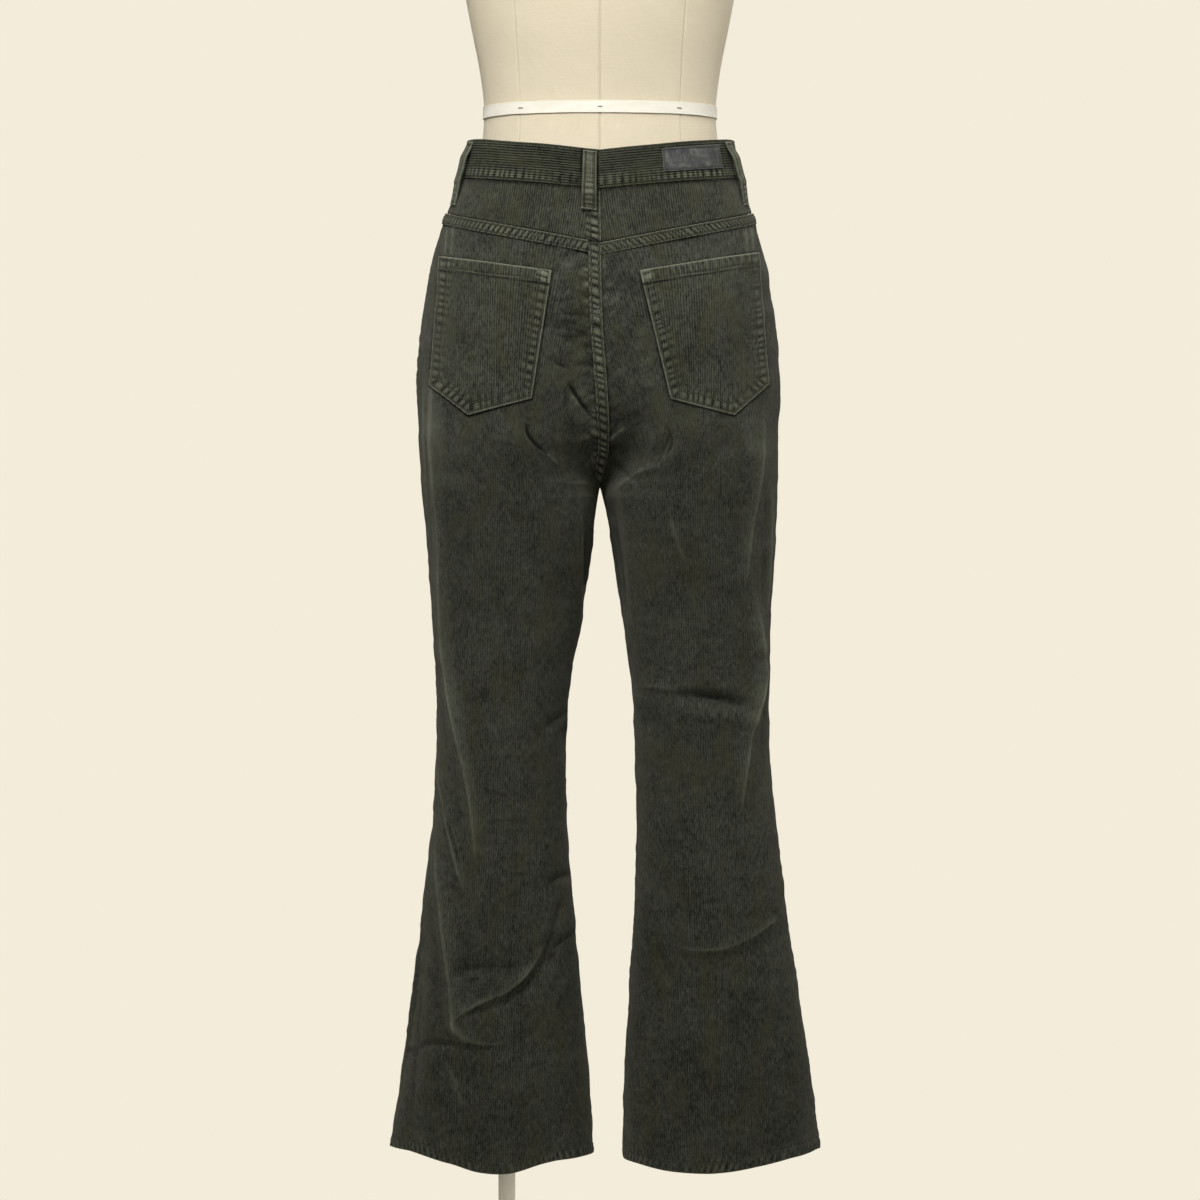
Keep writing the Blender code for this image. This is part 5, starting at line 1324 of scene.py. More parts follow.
def pocket_relief(corners, x, z, seed, pitch=RUNG):
    """Height, and wear with painted shade, that a pocket's hem and its double rows of stitches give it."""
    sides = [side_distance(x, z, corners[i], corners[(i + 1) % 5]) for i in range(5)]
    (from_top, along_top), *others = sides
    height, tone, nearest = np.zeros(x.shape), np.zeros(x.shape), np.full(x.shape, 1.0)
    for number, (distance, along) in enumerate(others):
        bulge, rub_and_shade = sewn(distance, along, ROWS, seed + number, pitch=pitch, slant=0.15, depth=0.0007)
        share = fall(distance - ROWS[1] - 0.005, 0.003)
        height = np.where(distance < nearest, bulge * share, height)
        tone = np.where(distance < nearest, rub_and_shade * share, tone)
        nearest = np.minimum(nearest, distance)
    edge = np.minimum(nearest, from_top)
    below = from_top - POCKET_HEM
    in_hem = ease(from_top, 0.0, 0.003) * (1 - ease(below, -0.005, -0.003))
    loose = 0.8 * (1 - fall(below, 0.001)) * fall(below, 0.004)
    swell = np.maximum(in_hem, loose) * ease(nearest, ROWS[1] - 0.001, ROWS[1] + 0.002)
    swell = swell * ladder(along_top + 0.1 * from_top, RUNG, seed + 7)
    sunk = sum(bell(from_top - row, GROOVE_HALF) for row in POCKET_HEM_ROWS) * ease(nearest, 0.0015, 0.003)
    height = height + 0.0005 * swell + 0.0005 * (1 - ease(below, 0.0, 0.002)) - GROOVE * sunk
    from_inner = sides[1][0]
    under = fall(from_inner - 0.012, 0.020)
    inner_corner = (1 - ease(from_inner, 0.0105, 0.0125)) * (1 - ease(from_top, 0.0105, 0.0120))
    # the hem's grooves painted dark as shade; a light line along the hem's lower fold, with painted shadow
    # just under it, deeper towards the inner side
    tone = tone + 0.28 * swell - 0.42 * sunk + 0.55 * inner_corner + 1.1 * bell(edge, 0.0013)
    tone = tone + 0.45 * bell(below + 0.0016, 0.0008) - (0.35 + 0.75 * under) * bell(below - 0.0004, 0.0010)
    return height - rolled(edge, 0.0011), tone, edge


def patch_pocket(name, side, corners):
    """A five-cornered pocket on the back panel, with a rolled edge and a little slack in its middle."""
    place = pocket_lattice(corners)
    x, z = place[..., 0], place[..., 1]
    u, h = locate(side, -1, x, z)
    base, normal, tone = cloth_point(side, -1, u, h, OVERLAY_GAP)
    height, rub_and_shade, edge = pocket_relief(corners, x, z, 120 + 10 * side, POCKET_RUNGS[side])
    uneven = 0.0004 * noise(x / 0.018, z / 0.030, 140 + side) * ease(edge, 0.008, 0.02)
    thickness = POCKET_CLOTH + height + POCKET_SLACK * ease(edge, 0.004, 0.030) + uneven
    uv = grain_uv(side, -1, u, h, base[..., 2]) + np.array([0.0007, 0.031])
    return raised(name, base, normal, thickness, uv, tone * 0.6 + rub_and_shade, corduroy_faded)


def seat_seam(name):
    """The raised band of the felled centre-back seam, on the wearer's left back panel."""
    h = np.linspace(1.10, 1 + YOKE_T - 0.006, 221)
    share = graded(FELL_WIDTH, 0.0010)
    u = np.stack([moved_u(-1, -1, h, 1.0, FELL_WIDTH * (s - 1)) for s in share], axis=1)
    u[:, -1] = 1.0
    h = np.broadcast_to(h[:, None], u.shape)
    base, normal, _ = cloth_point(-1, -1, u, h, OVERLAY_GAP)
    z = base[..., 2]
    distance = np.broadcast_to(FELL_WIDTH * (1 - share), u.shape)
    bulge, rub_and_shade = sewn(distance, z, FELL_ROWS, 150, pitch=SEAT_RUNG, slant=SEAT_SLANT, depth=0.0009)
    height = bulge - rolled(FELL_WIDTH - distance, 0.0009) - rolled(distance, 0.0006)
    tone = 0.12 + 1.3 * rub_and_shade + 0.65 * bell(distance, 0.0009) + 0.45 * bell(FELL_WIDTH - distance, 0.0009)
    outer = base + normal * (FELL_CLOTH + height)[..., None]
    base[:, -1, 0] = outer[:, -1, 0] = body_point(-1, -1, u, h)[:, -1, 0] - SEAM_SLIT
    return shell(name, outer, base, grain_uv(-1, -1, u, h, z), tone, corduroy_faded)


def yoke_seam(name, side):
    """The raised band of the felled yoke seam, on the back panel just under it."""
    last = 0.955 if side < 0 else 1.0
    top = YOKE_T - T_STEP
    u, t = np.meshgrid(np.linspace(0, last, 181), top - FELL_T * (1 - graded(FELL_WIDTH, 0.0010)))
    h = 1 + t
    base, normal, _ = cloth_point(side, -1, u, h, OVERLAY_GAP)
    top_z = body_z(side, -1, u, 1 + top)
    share = (top_z - base[..., 2]) / (top_z - body_z(side, -1, u, 1 + top - FELL_T))
    distance = np.clip(share, 0, 1) * FELL_WIDTH
    along = across(side, -1, u, h)[0]
    slant = 0.2 if side < 0 else 0.6
    bulge, rub_and_shade = sewn(distance, along, FELL_ROWS, 160 + side, pitch=YOKE_RUNG, slant=slant, depth=0.0007)
    height = FELL_CLOTH + bulge - rolled(FELL_WIDTH - distance, 0.0009) - rolled(distance, 0.0006)
    height = height * (0.1 + 0.9 * ease(along, 0.002, 0.010))
    tone = 1.15 * rub_and_shade + (0.36 + 0.44 * u) * bell(distance, 0.0010) + 0.3 * bell(distance - 0.0116, 0.0009)
    uv = grain_uv(side, -1, u, h, base[..., 2])
    return raised(name, base + slit(side, -1, u, h), normal, height, uv, tone, corduroy_faded)


def loop_surface(side, face, middle, lean, gap, foot, t, offsets):
    """Points and directions of a belt loop's inner skin, at shares t of the rise and off its middle."""
    near = body_point(side, face, np.array([middle - 0.01, middle + 0.01]), np.full(2, 1 + BAND_T))
    per_u = np.linalg.norm(near[1] - near[0]) / 0.02
    u, h = np.meshgrid(middle + offsets / per_u, 1 + t)
    u = u + lean * (t[:, None] - LOOP_HEAD_T)
    on_band = ease(t, BAND_T - 0.03, BAND_T - 0.012) * (BAND_OUT + GAP)
    lifted = ease(t, foot, BAND_T - 0.018) * (1 - ease(t, 0.942, 0.986))
    clear = GAP + on_band + gap * lifted
    ahead = body_normal(side, face, np.array([middle]), np.array([1 + BAND_T]))[0]
    direction = unit(ahead + body_normal(side, face, u, h))
    return body_point(side, face, u, h) + direction * clear[:, None, None], direction


def belt_loop(name, side, face, middle, lean, gap, foot):
    """A strap sewn down at both ends, with a row of stitches along each side."""
    share = graded(LOOP_LENGTH, 0.0010)
    t = foot + (LOOP_TOP_T - foot) * share
    offsets = LOOP_WIDTH * (graded(LOOP_WIDTH, 0.0010) - 0.5)
    inner, direction = loop_surface(side, face, middle, lean, gap, foot, t, offsets)
    from_edge = np.broadcast_to(LOOP_WIDTH / 2 - np.abs(offsets), inner.shape[:2])
    along = np.broadcast_to((share * LOOP_LENGTH)[:, None], from_edge.shape)
    ends = np.minimum(along, LOOP_LENGTH - along)
    rungs = ladder(along, 0.0050, 170 + int(middle * 10) + side)
    sunk = bell(from_edge - LOOP_ROW, 0.0009)
    bar = bell(ends - 0.0022, 0.0012)
    height = 0.00028 * rungs * ease(from_edge, LOOP_ROW, 0.006) - 0.0005 * sunk - 0.0004 * bar
    height = LOOP_CLOTH + height - rolled(from_edge, 0.0010) - rolled(ends, 0.0007)
    low = 1 - ease(along, 0.010, 0.036)
    # sunk rows and bar tacks painted dark as shade; the loop itself is lighter as worn pile
    tone = 0.32 + (0.14 + 0.36 * low) * rungs * ease(from_edge, 0.001, 0.004) - 0.6 * sunk - 0.3 * bar
    tone = tone + 0.35 * bell(from_edge, 0.0010) + bell(ends, 0.0014)
    uv = np.stack([np.broadcast_to(offsets, along.shape) + 9.0 + middle, along], axis=-1)
    return raised(name, inner, direction, height, uv, tone, corduroy_faded)


def fly(name):
    """The fly's overlap over both front panels, with a J-shaped lower end and two rows of stitches."""
    h = np.linspace(1 + BAND_T - T_STEP, 1.505, 141)
    row_z = body_point(1, 1, np.ones(len(h)), h)[:, 2]
    h, row_z = h[row_z > FLY_LOW_Z], row_z[row_z > FLY_LOW_Z]
    above_low = np.clip((row_z - FLY_LOW_Z) / 0.036, 0, 1)
    width = FLY_WIDTH * (0.14 + 0.86 * np.sqrt(1 - (1 - above_low) ** 2))
    share = graded(FLY_WIDTH, 0.0012)
    x = FLY_EDGE_X - width[:, None] * share[None, :]
    sides = {}
    for side in (-1, 1):
        u_line = np.linspace(1, 0.5, 101)
        row_x = body_point(side, 1, *np.meshgrid(u_line, h))[..., 0]
        u = np.stack([np.interp(side * px, side * row, u_line) for px, row in zip(x, row_x)])
        sides[side] = cloth_point(side, 1, u, np.broadcast_to(h[:, None], u.shape), OVERLAY_GAP)
    base, normal = (np.where((x < 0)[..., None], sides[-1][i], sides[1][i]) for i in (0, 1))
    base[..., 0] = x
    z = np.broadcast_to(row_z[:, None], x.shape)
    inward = np.minimum(width[:, None] * (1 - share)[None, :], z - FLY_LOW_Z)
    edge = np.minimum(FLY_EDGE_X - x, inward)
    bulge, rub_and_shade = sewn(inward, z, FLY_ROWS, 180, slant=0.6)
    height = FLY_CLOTH + bulge * fall(inward, 0.02) - rolled(edge, 0.0010)
    tone = rub_and_shade * fall(inward, 0.02) + 0.7 * bell(edge, 0.0009)
    return raised(name, base, normal, height, np.stack([x + 12.0, z], axis=-1), tone, corduroy_cloth)


def label_patch(name):
    """The bare leather patch on the waistband, a little wrinkled by wear."""
    across_share, up_share = (graded(length, 0.0010) for length in PATCH_SIZE)
    x = PATCH_X[0] + (PATCH_X[1] - PATCH_X[0]) * across_share
    u_of_x = locate(1, -1, x, np.full(x.shape, PATCH_Z))[0]
    u, h = np.meshgrid(u_of_x, 1 + PATCH_T[0] + (PATCH_T[1] - PATCH_T[0]) * up_share)
    normal = body_normal(1, -1, u, h)
    base = body_point(1, -1, u, h) + normal * (BAND_OUT + PATCH_GAP)
    a, b = np.meshgrid(across_share * PATCH_SIZE[0], up_share * PATCH_SIZE[1])
    edge = np.minimum(np.minimum(a, PATCH_SIZE[0] - a), np.minimum(b, PATCH_SIZE[1] - b))
    wrinkle = noise(a / 0.0045 + b / 0.05, b / 0.016 + a / 0.04, 190) * ease(edge, 0.001, 0.004)
    fine = noise(a / 0.004, b / 0.0022, 191)
    sunk = bell(edge - PATCH_ROW, 0.0007)
    height = PATCH_CLOTH + 0.0005 * wrinkle + 0.00012 * fine - 0.0003 * sunk - rolled(edge, 0.0008)
    # wrinkle crests lighter as rubbed leather, wrinkle troughs and the row's groove darker as painted shade
    tone = 0.45 * wrinkle + 0.20 * fine + 0.25 * bell(edge, 0.0007) - 0.75 * sunk
    return raised(name, base, normal, height, np.stack([a, b], axis=-1), tone, patch_leather)


# ================= stitches =================
def stitches(points, normals, lift=0.0002):
    """Point and face arrays of one row of stitches that follows a path over the cloth."""
    length = lengths_along(points)
    count = max(0, int((length[-1] - STITCH_LENGTH) / STITCH_PITCH))
    starts = np.arange(count) * STITCH_PITCH + (length[-1] - (count - 1) * STITCH_PITCH - STITCH_LENGTH) / 2
    share, rise, half = np.array(STITCH_RINGS).T
    stations = starts[:, None] + STITCH_LENGTH * share
    at, up = (
        np.stack([np.interp(stations, length, table[:, i]) for i in range(3)], axis=-1)
        for table in (points, normals)
    )
    up = unit(up)
    right = np.cross(unit(at[:, -1] - at[:, 0])[:, None], up)
    rise, half = rise[:, None] * THREAD / 2 + lift, half[:, None] * THREAD / 2
    centre = at + up * rise
    rings = np.stack([centre + way_out * half for way_out in (right, up, -right, -up)], axis=2)
    faces = np.concatenate([f.reshape(-1, 4) for f in tube_faces(np.arange(20).reshape(5, 4))])
    return rings.reshape(-1, 3), (faces[None] + 20 * np.arange(count)[:, None, None]).reshape(-1, 4)


def stitch_object(name, rows):
    """One joined mesh of several rows of stitches, each (points, normals)."""
    points, faces, total = [], [], 0
    for row in rows:
        row_points, row_faces = stitches(*row)
        points.append(row_points)
        faces.append(row_faces + total)
        total += len(row_points)
    made = mesh_object(name, np.concatenate(points), [np.concatenate(faces)], olive_thread)
    return made


def inset(corners, distance):
    """A polygon's corners moved in by a distance, each where its two moved sides cross."""
    points = np.array(corners, float)
    turn = np.sign(np.cross(points[1] - points[0], points[2] - points[1]))
    moved = []
    for i in range(len(points)):
        before, here, after = points[i - 1], points[i], points[(i + 1) % len(points)]
        into, out = unit(here - before), unit(after - here)
        normal_in = turn * np.array([-into[1], into[0]])
        normal_out = turn * np.array([-out[1], out[0]])
        moved.append(here + (normal_in + normal_out) * distance / (1 + normal_in @ normal_out))
    return np.array(moved)


def pocket_rows(side, corners):
    """The double rows round a pocket's sides, and the two along its hem."""
    rows = []
    paths = [inset(corners, distance)[[1, 2, 3, 4, 0]] for distance in ROWS]
    outer_top, inner_top = (np.array(c) for c in corners[:2])
    for distance in POCKET_HEM_ROWS:
        start, end = outer_top - [0, distance], inner_top - [0, distance]
        paths.append(np.array([start + (end - start) * 0.02, start + (end - start) * 0.98]))
    for path in paths:
        dense = [np.linspace(a, b, 60, endpoint=False) for a, b in zip(path[:-1], path[1:])]
        x, z = np.concatenate([*dense, path[-1:]]).T
        u, h = locate(side, -1, x, z)
        point, normal, _ = cloth_point(side, -1, u, h, OVERLAY_GAP + POCKET_CLOTH - GROOVE)
        edge = pocket_relief(corners, x, z, 120)[2]
        rows.append((point + normal * (POCKET_SLACK * ease(edge, 0.004, 0.030))[:, None], normal))
    return rows


def surface_row(side, face, u, h, lift):
    return cloth_point(side, face, u, h, lift)[:2]


def hem_rows():
    """The row round each trouser leg, above the hem's edge."""
    u = np.linspace(0.004, 0.996, 400)
    pairs = [(side, face) for side in (-1, 1) for face in (-1, 1)]
    return [surface_row(*pair, u, HEM_ROW / LEG_LENGTH, -GROOVE + 0.0001) for pair in pairs]


def seat_rows():
    """Rows on the felled centre-back and yoke seams and up the left yoke."""
    rows = []
    top = OVERLAY_GAP + FELL_CLOTH - GROOVE
    up_seat = np.linspace(1.13, 1 + YOKE_T - 0.006, 300)
    up_yoke = np.linspace(1 + YOKE_T + 0.004, 1 + BAND_T - 0.004, 60)
    for h, lift in ((up_seat, top), (up_yoke, -GROOVE)):
        rows += [surface_row(-1, -1, moved_u(-1, -1, h, 1.0, -off), h, lift) for off in FELL_ROWS]
    for side, last in ((-1, 0.95), (1, 0.995)):
        u = np.linspace(0.02, last, 300)
        for distance in FELL_ROWS:
            h = 1 + YOKE_T - T_STEP - FELL_T * distance / FELL_WIDTH
            rows.append(surface_row(side, -1, u, h, top))
    return rows


def waist_rows():
    """Rows along both edges of the waistband and round the patch."""
    rows = []
    for side in (-1, 1):
        for up in (BAND_ROW, BAND_HEIGHT - BAND_ROW):
            t = 1 + BAND_T + T_STEP + (1 - BAND_T - T_STEP) * up / BAND_HEIGHT
            point, normal = (
                np.stack([surface(*station, t) for station in band_stations(side)])
                for surface in (body_point, body_normal)
            )
            rows.append((point + normal * (BAND_OUT - GROOVE + 0.0001), normal))
    x = np.array([PATCH_X[0] + PATCH_ROW, PATCH_X[1] - PATCH_ROW])
    u_ends = locate(1, -1, x, np.full(2, PATCH_Z))[0]
    h_ends = 1 + np.array([PATCH_T[0] + PATCH_ROW_T, PATCH_T[1] - PATCH_ROW_T])
    lift = BAND_OUT + PATCH_GAP + PATCH_CLOTH - 0.0002
    for i in (0, 1):
        for u, h in ((u_ends[i], np.linspace(*h_ends, 40)), (np.linspace(*u_ends, 90), h_ends[i])):
            normal = body_normal(1, -1, u, h)
            rows.append((body_point(1, -1, u, h) + normal * lift, normal))
    return rows


def loop_rows():
    """Both rows of each belt loop, and the bar tacks at its ends."""
    rows = []
    for row in LOOPS.values():
        foot = row[-1]
        t = np.linspace(foot + 0.006, LOOP_TOP_T - 0.006, 120)
        for offset in (LOOP_ROW - LOOP_WIDTH / 2, LOOP_WIDTH / 2 - LOOP_ROW):
            inner, direction = loop_surface(*row, t, np.array([offset]))
            rows.append(((inner + direction * (LOOP_CLOTH - 0.0005))[:, 0], direction[:, 0]))
        for t_bar in [foot + up for up in BAR_TACKS[0]] + [LOOP_TOP_T - down for down in BAR_TACKS[1]]:
            inner, direction = loop_surface(*row, np.array([t_bar]), np.linspace(-0.0062, 0.0062, 30))
            rows.append(((inner + direction * (LOOP_CLOTH - 0.0003))[0], direction[0]))
    return rows


def front_rows():
    """Double rows along the front pockets' openings and the fly's J."""
    rows = []
    t = np.linspace(SCOOP_T + 0.004, BAND_T - 0.004, 160)
    for side in (-1, 1):
        for distance in ROWS:
            u = moved_u(side, 1, 1 + t, scoop_edge(t), distance)
            rows.append(surface_row(side, 1, u, 1 + t, -GROOVE + 0.0001))
    for distance in FLY_ROWS:
        path = fly_path(distance)
        x, z = path[path[:, 0] < -0.0006].T
        u, h = locate(-1, 1, x, z, start_u=0.85)
        rows.append(surface_row(-1, 1, u, h, OVERLAY_GAP + FLY_CLOTH - GROOVE))
    return rows


# ================= button, dress form and tape =================
BUTTON_PROFILE = [  # share of the radius, height in metres
    (0.30, 0.0),
    (0.94, 0.0002),
    (1.00, 0.0007),
    (1.00, 0.0013),
    (0.95, 0.0021),
    (0.86, 0.0026),
    (0.76, 0.0025),
    (0.70, 0.0018),
    (0.66, 0.0016),
    (0.30, 0.0018),
    (0.12, 0.0026),
    (0.04, 0.0028),
]


def button(name, count=56):
    """The waistband's plain tack button, turned, with a raised rim."""
    u, h = np.array([1.0]), np.array([1 + BUTTON_T])
    normal = body_normal(1, 1, u, h)[0]
    centre = body_point(1, 1, u, h)[0] + normal * (BAND_OUT + 2 * GAP)
    first = Vector(normal).orthogonal().normalized()
    second = Vector(normal).cross(first)
    angle = np.linspace(0, 2 * np.pi, count, endpoint=False)
    spoke = np.outer(np.cos(angle), first) + np.outer(np.sin(angle), second)
    rings = [centre + r * BUTTON_RADIUS * spoke + normal * height for r, height in BUTTON_PROFILE]
    index = np.arange(len(rings) * count).reshape(-1, count)
    return mesh_object(name, np.concatenate(rings), tube_faces(index), aged_brass, sharp=35)


SEAM_ROWS = [  # z, share of the half width where the side-back and side-front seams run
    (0.960, 0.55, 0.52),
    (1.120, 0.60, 0.57),
    (1.265, 0.68, 0.62),
    (1.360, 0.64, 0.60),
    (1.480, 0.60, 0.58),
    (1.620, 0.58, 0.56),
    (1.740, 0.60, 0.58),
]
SEAM_COLUMNS = [  # columns of points beside a seam: how far away, how far out, their painted shade
    (0.0, -0.0009, -0.62),
    (0.0007, -0.0004, -0.12),
    (0.0016, 0.0002, 0.0),
    (0.0032, 0.0001, 0.0),
]
FORM_POWER = 2 / 2.15  # of the super-ellipse of the torso's cross-section
BETWEEN_SEAMS = 17  # columns of points from beside one seam to beside the next


def form_ring(z, angle, lift=0.0):
    """Points round the dress form at height z, cut flat at the armholes."""
    width, back, front = (
        smooth_rows(FORM_ROWS, column, z) + way * lift for column, way in ((1, 1), (2, -1), (3, 1))
    )
    cosine, sine = np.cos(angle), np.sin(angle)
    x = width * np.sign(cosine) * np.abs(cosine) ** FORM_POWER
    y = np.where(sine < 0, -back, front) * np.sign(sine) * np.abs(sine) ** FORM_POWER
    x = np.clip(x, -ARM_PLATE_X, ARM_PLATE_X) if z > ARM_LOW_Z else x
    return np.stack([x, y, np.full(np.shape(angle), float(z))], axis=-1)


def seam_angles(z):
    """Angles of the form's eight seams: side, side front and centre front, and so on round."""
    back, front = (
        math.acos(float(smooth_rows(SEAM_ROWS, column, z)) ** (1 / FORM_POWER)) for column in (1, 2)
    )
    half, whole = math.pi, 2 * math.pi
    return [0.0, front, half / 2, half - front, half, half + back, 1.5 * half, whole - back, whole]


def form_torso(name):
    """The linen-covered torso, with its eight seams sunk in it."""
    heights = np.concatenate([np.linspace(0.960, 0.970, 4), np.linspace(0.974, 1.740, 190)])
    columns = np.array(SEAM_COLUMNS)
    offsets = columns[:, 0] / FORM_RADIUS
    plain = np.zeros((BETWEEN_SEAMS - 2, 2))
    depth, tone = np.concatenate([columns[:, 1:], plain, columns[:0:-1, 1:]] * 8).T
    rings, places = [], []
    for z in heights:
        seams = seam_angles(z)
        angle = []
        for start, end in zip(seams, seams[1:]):
            middle = np.linspace(start + offsets[-1], end - offsets[-1], BETWEEN_SEAMS)[1:-1]
            angle += [*(start + offsets), *middle, *(end - offsets[:0:-1])]
        ring = form_ring(z, np.array(angle))
        ring[:, :2] += unit(ring[:, :2]) * depth[:, None]
        arc = lengths_along(ring)
        rings.append(ring)
        places.append(np.stack([arc, np.full(arc.shape, z)], axis=-1))
    index = np.arange(len(rings) * len(depth)).reshape(len(rings), -1)
    tones = np.tile(tone, len(rings))
    points = np.concatenate(rings)
    return mesh_object(name, points, tube_faces(index), linen_cloth, np.concatenate(places), tones, 35)


def waist_tape(name):
    """The tape round the form's waist, pinned at the back."""
    angle = np.linspace(0, 2 * np.pi, 180, endpoint=False)
    up = graded(TAPE_HEIGHT, 0.0018)
    rows_out, rows_in = [], []
    for share in up:
        z = TAPE_Z + TAPE_HEIGHT * (share - 0.5)
        drop = rolled(TAPE_HEIGHT * min(share, 1 - share), 0.0005)
        rows_out.append(form_ring(z, angle, TAPE_GAP + TAPE_THICKNESS - drop))
        rows_in.append(form_ring(z, angle, TAPE_GAP))
    droop = 0.0005 * noise(np.cos(angle) * 4, np.sin(angle) * 4, 200)
    outer, inner = (np.array(rows) + droop[:, None] * [0, 0, 1] for rows in (rows_out, rows_in))
    arc = np.broadcast_to(angle * WAIST_RADIUS, outer.shape[:2])
    height = np.broadcast_to((up * TAPE_HEIGHT)[:, None], arc.shape)
    tone = -0.5 * bell(np.minimum(height, TAPE_HEIGHT - height), 0.0006)
    return shell(name, outer, inner, np.stack([arc, height], axis=-1), tone, tape_cloth, closed=True)


PIN_X = (-0.080, 0.000, 0.080)
PIN_LENGTH = 0.0052
PIN_RADIUS = 0.0004
PIN_SIDES = 8


def tape_pins(name):
    """Three short pins that hold the tape at the form's back seams."""
    points, sides, ends = [], [], []
    width = float(smooth_rows(FORM_ROWS, 1, TAPE_Z)) + TAPE_GAP + TAPE_THICKNESS
    turn = np.linspace(0, 2 * np.pi, PIN_SIDES, endpoint=False)
    spoke = np.stack([0 * turn, np.cos(turn), np.sin(turn)], axis=-1) * PIN_RADIUS
    for number, x in enumerate(PIN_X):
        span = x + np.linspace(-0.5, 0.5, 7) * PIN_LENGTH
        angle = 2 * np.pi - np.arccos(np.abs(span / width) ** (1 / FORM_POWER) * np.sign(span))
        line = form_ring(TAPE_Z, angle, TAPE_GAP + TAPE_THICKNESS + 0.0003)
        line[[0, -1], 1] += 0.0008
        index = np.arange(len(span) * PIN_SIDES).reshape(-1, PIN_SIDES) + number * len(span) * PIN_SIDES
        side, *caps = tube_faces(index)
        points.append((line[:, None] + spoke[None]).reshape(-1, 3))
        sides.append(side)
        ends += caps
    faces = [np.concatenate(sides), np.concatenate(ends)]
    return mesh_object(name, np.concatenate(points), faces, pin_steel)


# ================= assembly =================
SHEETS = {  # piece: its cut's width and length, its area unless that is all of the rectangle, its carrier
    "back_panel": ((0.345, 1.010), 0.262, "form_torso"),
    "front_panel": ((0.325, 1.045), 0.250, "form_torso"),
    "yoke": ((0.225, 0.075), 0.0096, "form_torso"),
    "waistband": ((0.430, 0.041), 0.0172, "form_torso"),
    "front_facing": ((0.110, 0.120), 0.0077, "front_panel"),
    "back_pocket": ((0.145, 0.190), 0.0210, "back_panel"),
    "yoke_seam": ((0.225, 0.0135), 0.0029, "back_panel"),
    "seat_seam": ((0.0135, 0.250), None, "back_panel"),
    "fly": ((0.050, 0.200), 0.0085, "front_panel"),
    "loop": ((0.0150, 0.068), None, "waistband"),
}


def dressed(made, node):
    """Hides the solid that a piece stands for."""
    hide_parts(node)
    return made


def hung(made, node, kind, label):
    """Hides the solid that a piece of corduroy stands for, after looking up its cut and what carries it."""
    flat, area, carrier = SHEETS[kind]
    carrier = carrier if carrier == "form_torso" else carrier + "_" + label
    dressed(made, node)


def dress_trousers():
    for label, side in (("left", -1), ("right", 1)):
        made = {
            "back_panel": leg_panel("back_panel_cloth_" + label, side, -1),
            "front_panel": leg_panel("front_panel_cloth_" + label, side, 1),
            "yoke": yoke("yoke_cloth_" + label, side),
            "waistband": waistband("waistband_cloth_" + label, side),
            "front_facing": pocket_facing("front_facing_cloth_" + label, side),
            "back_pocket": patch_pocket("back_pocket_cloth_" + label, side, POCKETS[label]),
            "yoke_seam": yoke_seam("yoke_seam_cloth_" + label, side),
        }
        for kind, piece in made.items():
            hung(piece, kind + "_" + label, kind, label)
    hung(seat_seam("seat_seam_cloth"), "seat_seam", "seat_seam", "left")
    hung(fly("fly_cloth"), "fly", "fly", "left")
    for name, row in LOOPS.items():
        hung(belt_loop(name + "_cloth", *row), name, "loop", "left" if row[0] < 0 else "right")
    dressed(label_patch("label_patch_leather"), "label_patch")
    dressed(button("button_turned"), "button")


def sew_trousers():
    for label, side in (("left", -1), ("right", 1)):
        stitch_object("stitches_pocket_" + label, pocket_rows(side, POCKETS[label]))
    stitch_object("stitches_seat", seat_rows())
    stitch_object("stitches_hems", hem_rows())
    stitch_object("stitches_waistband", waist_rows())
    stitch_object("stitches_loops", loop_rows())
    stitch_object("stitches_front", front_rows())


def dress_form():
    dressed(form_torso("form_torso_linen"), "form_torso")
    tape = dressed(waist_tape("waist_tape_woven"), "waist_tape")
    tape_pins("tape_pins")
    for node in ("neck_cap", "arm_plate_left", "arm_plate_right", "rod_socket", "rod", "base"):
        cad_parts[node].material_slots[0].material = stand_enamel


# ================= floor, light and camera =================
BACKDROP = linear(243, 236, 218)
AMBIENT = 0.26  # share of the backdrop's strength that it has as light on other things
CAMERA_PLACE = (0.0, -2.9, 1.010)
CAMERA_PITCH = 4.966  # degrees below the horizon
LENS = 83.169  # on a sensor 36 mm wide
FLOOR_RADII = (0.0005, 0.5, 1.0, 2.0, 5.0, 12.0, 40.0)
LIGHT_COLOR = (1.0, 0.985, 0.965)
LIGHTS = {  # soft boxes: place, height of the point on the z axis that they shine at, size, power
    "key": ((-0.30, -1.40, 2.45), 1.05, 1.0, 44),
    "fill": ((1.3, -2.2, 1.9), 1.0, 1.8, 10),
    "side_left": ((-2.0, 0.4, 2.1), 1.1, 1.2, 7),
    "side_right": ((2.0, 0.4, 2.1), 1.1, 1.2, 22),
    "back": ((0.6, 2.4, 2.6), 0.9, 1.6, 36),
}


def empty_nodes(owner):
    nodes = Nodes(owner)
    nodes.tree.nodes.clear()
    return nodes


def glow(n, kind):
    """A shader in the backdrop's colour, full as seen and dimmer as light on other things."""
    seen = n.add("ShaderNodeLightPath", {}, "Is Camera Ray")
    strength = n.add("ShaderNodeMapRange", {"Value": seen, "To Min": AMBIENT, "To Max": 1.0})
    return n.add(kind, {"Color": BACKDROP, "Strength": strength})


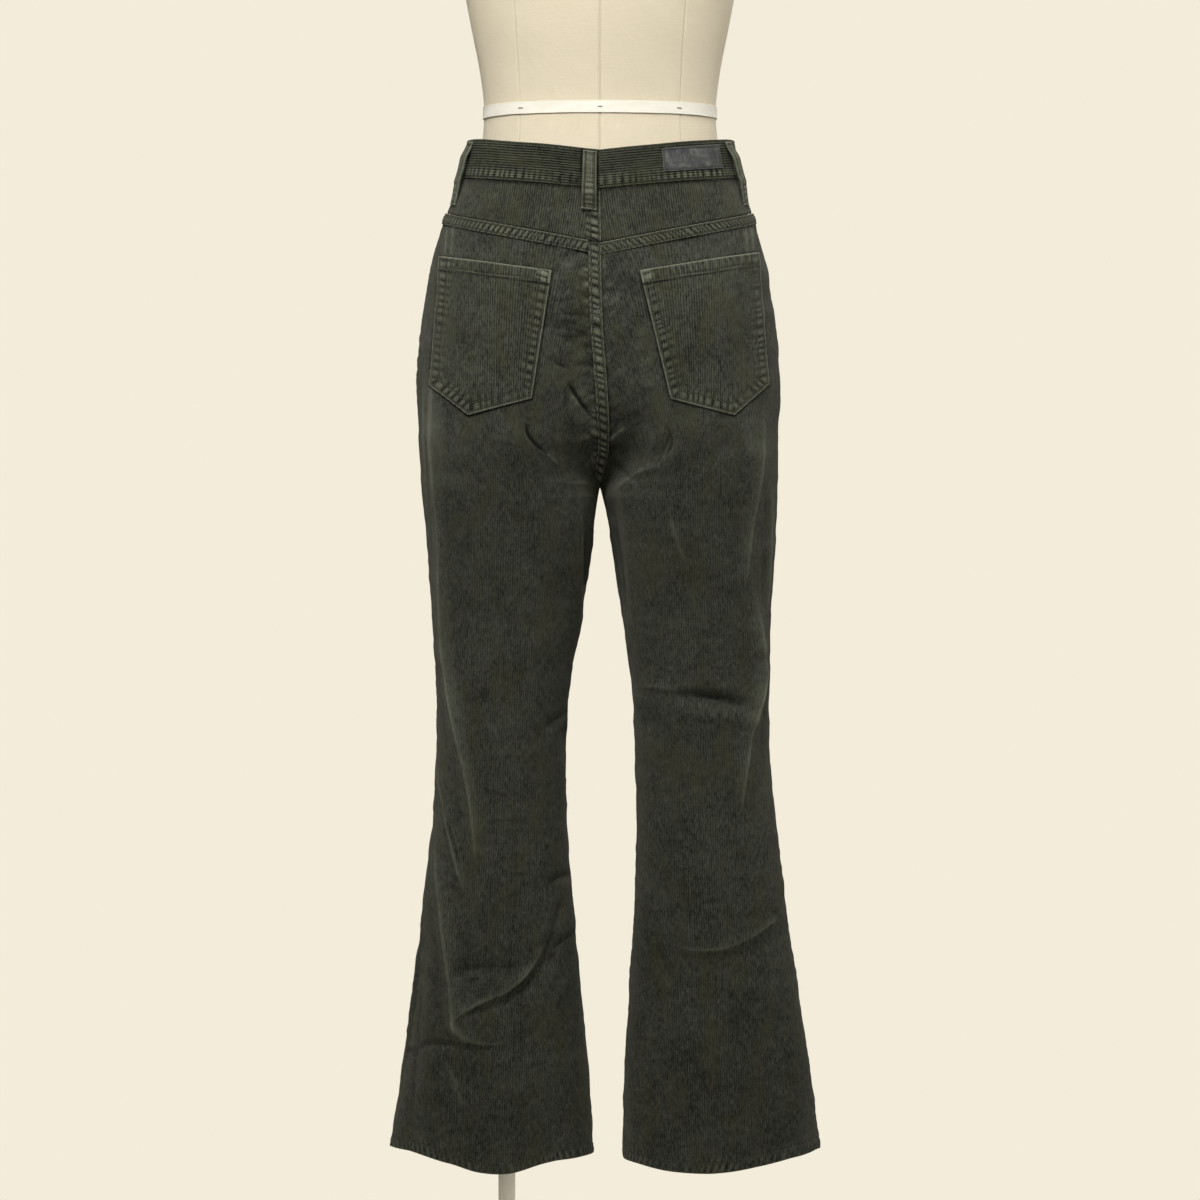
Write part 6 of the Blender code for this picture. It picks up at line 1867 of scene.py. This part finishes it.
def floor(points=96):
    """A round pale floor that takes soft shade near the stand and melts into the backdrop further out."""
    angle = np.linspace(0, 2 * np.pi, points, endpoint=False)
    circle = np.stack([np.cos(angle), np.sin(angle), 0 * angle], axis=-1)
    rings = np.concatenate([radius * circle for radius in FLOOR_RADII])
    index = np.arange(len(rings)).reshape(-1, points)
    mesh = bpy.data.meshes.new("floor")
    mesh.from_pydata(rings.tolist(), [], [*grid_faces(joined_round(index)).tolist(), index[0].tolist()])

    surface = bpy.data.materials.new("pale_floor")
    n = empty_nodes(surface)
    place = n.add("ShaderNodeNewGeometry", {}, "Position")
    away = n.add("ShaderNodeVectorMath", {0: place}, "Value", operation="LENGTH")
    shade_ramp = {"Value": away, "From Min": 0.24, "From Max": 0.36, "To Min": 0.50, "To Max": 1.0}
    share = n.add("ShaderNodeMapRange", shade_ramp, interpolation_type="SMOOTHSTEP")
    matt = n.add("ShaderNodeBsdfDiffuse", {"Color": BACKDROP})
    blend = n.add("ShaderNodeMixShader", {0: share, 1: matt, 2: glow(n, "ShaderNodeEmission")})
    n.add("ShaderNodeOutputMaterial", {"Surface": blend}, None)
    mesh.materials.append(surface)
    placed("floor", mesh)


def studio():
    """The backdrop's colour all round, and large soft boxes that the camera doesn't see."""
    world = bpy.data.worlds.new("backdrop")
    bpy.context.scene.world = world
    n = empty_nodes(world)
    n.add("ShaderNodeOutputWorld", {"Surface": glow(n, "ShaderNodeBackground")}, None)
    for name, (place, target_z, size, power) in LIGHTS.items():
        lamp = bpy.data.lights.new(name, "AREA")
        lamp.shape = "SQUARE"
        lamp.size = size
        lamp.energy = power
        lamp.color = LIGHT_COLOR
        made = placed(name, lamp)
        made.location = place
        made.rotation_euler = (Vector((0, 0, target_z)) - Vector(place)).to_track_quat("-Z", "Y").to_euler()
        made.visible_camera = False


def camera():
    data = bpy.data.cameras.new("camera")
    data.lens = LENS
    data.sensor_width = 36.0
    made = placed("camera", data)
    made.location = CAMERA_PLACE
    made.rotation_euler = (math.radians(90 - CAMERA_PITCH), 0, 0)
    bpy.context.scene.camera = made


bpy.context.scene.view_settings.view_transform = "Standard"
camera()
studio()
floor()
dress_trousers()
sew_trousers()
dress_form()
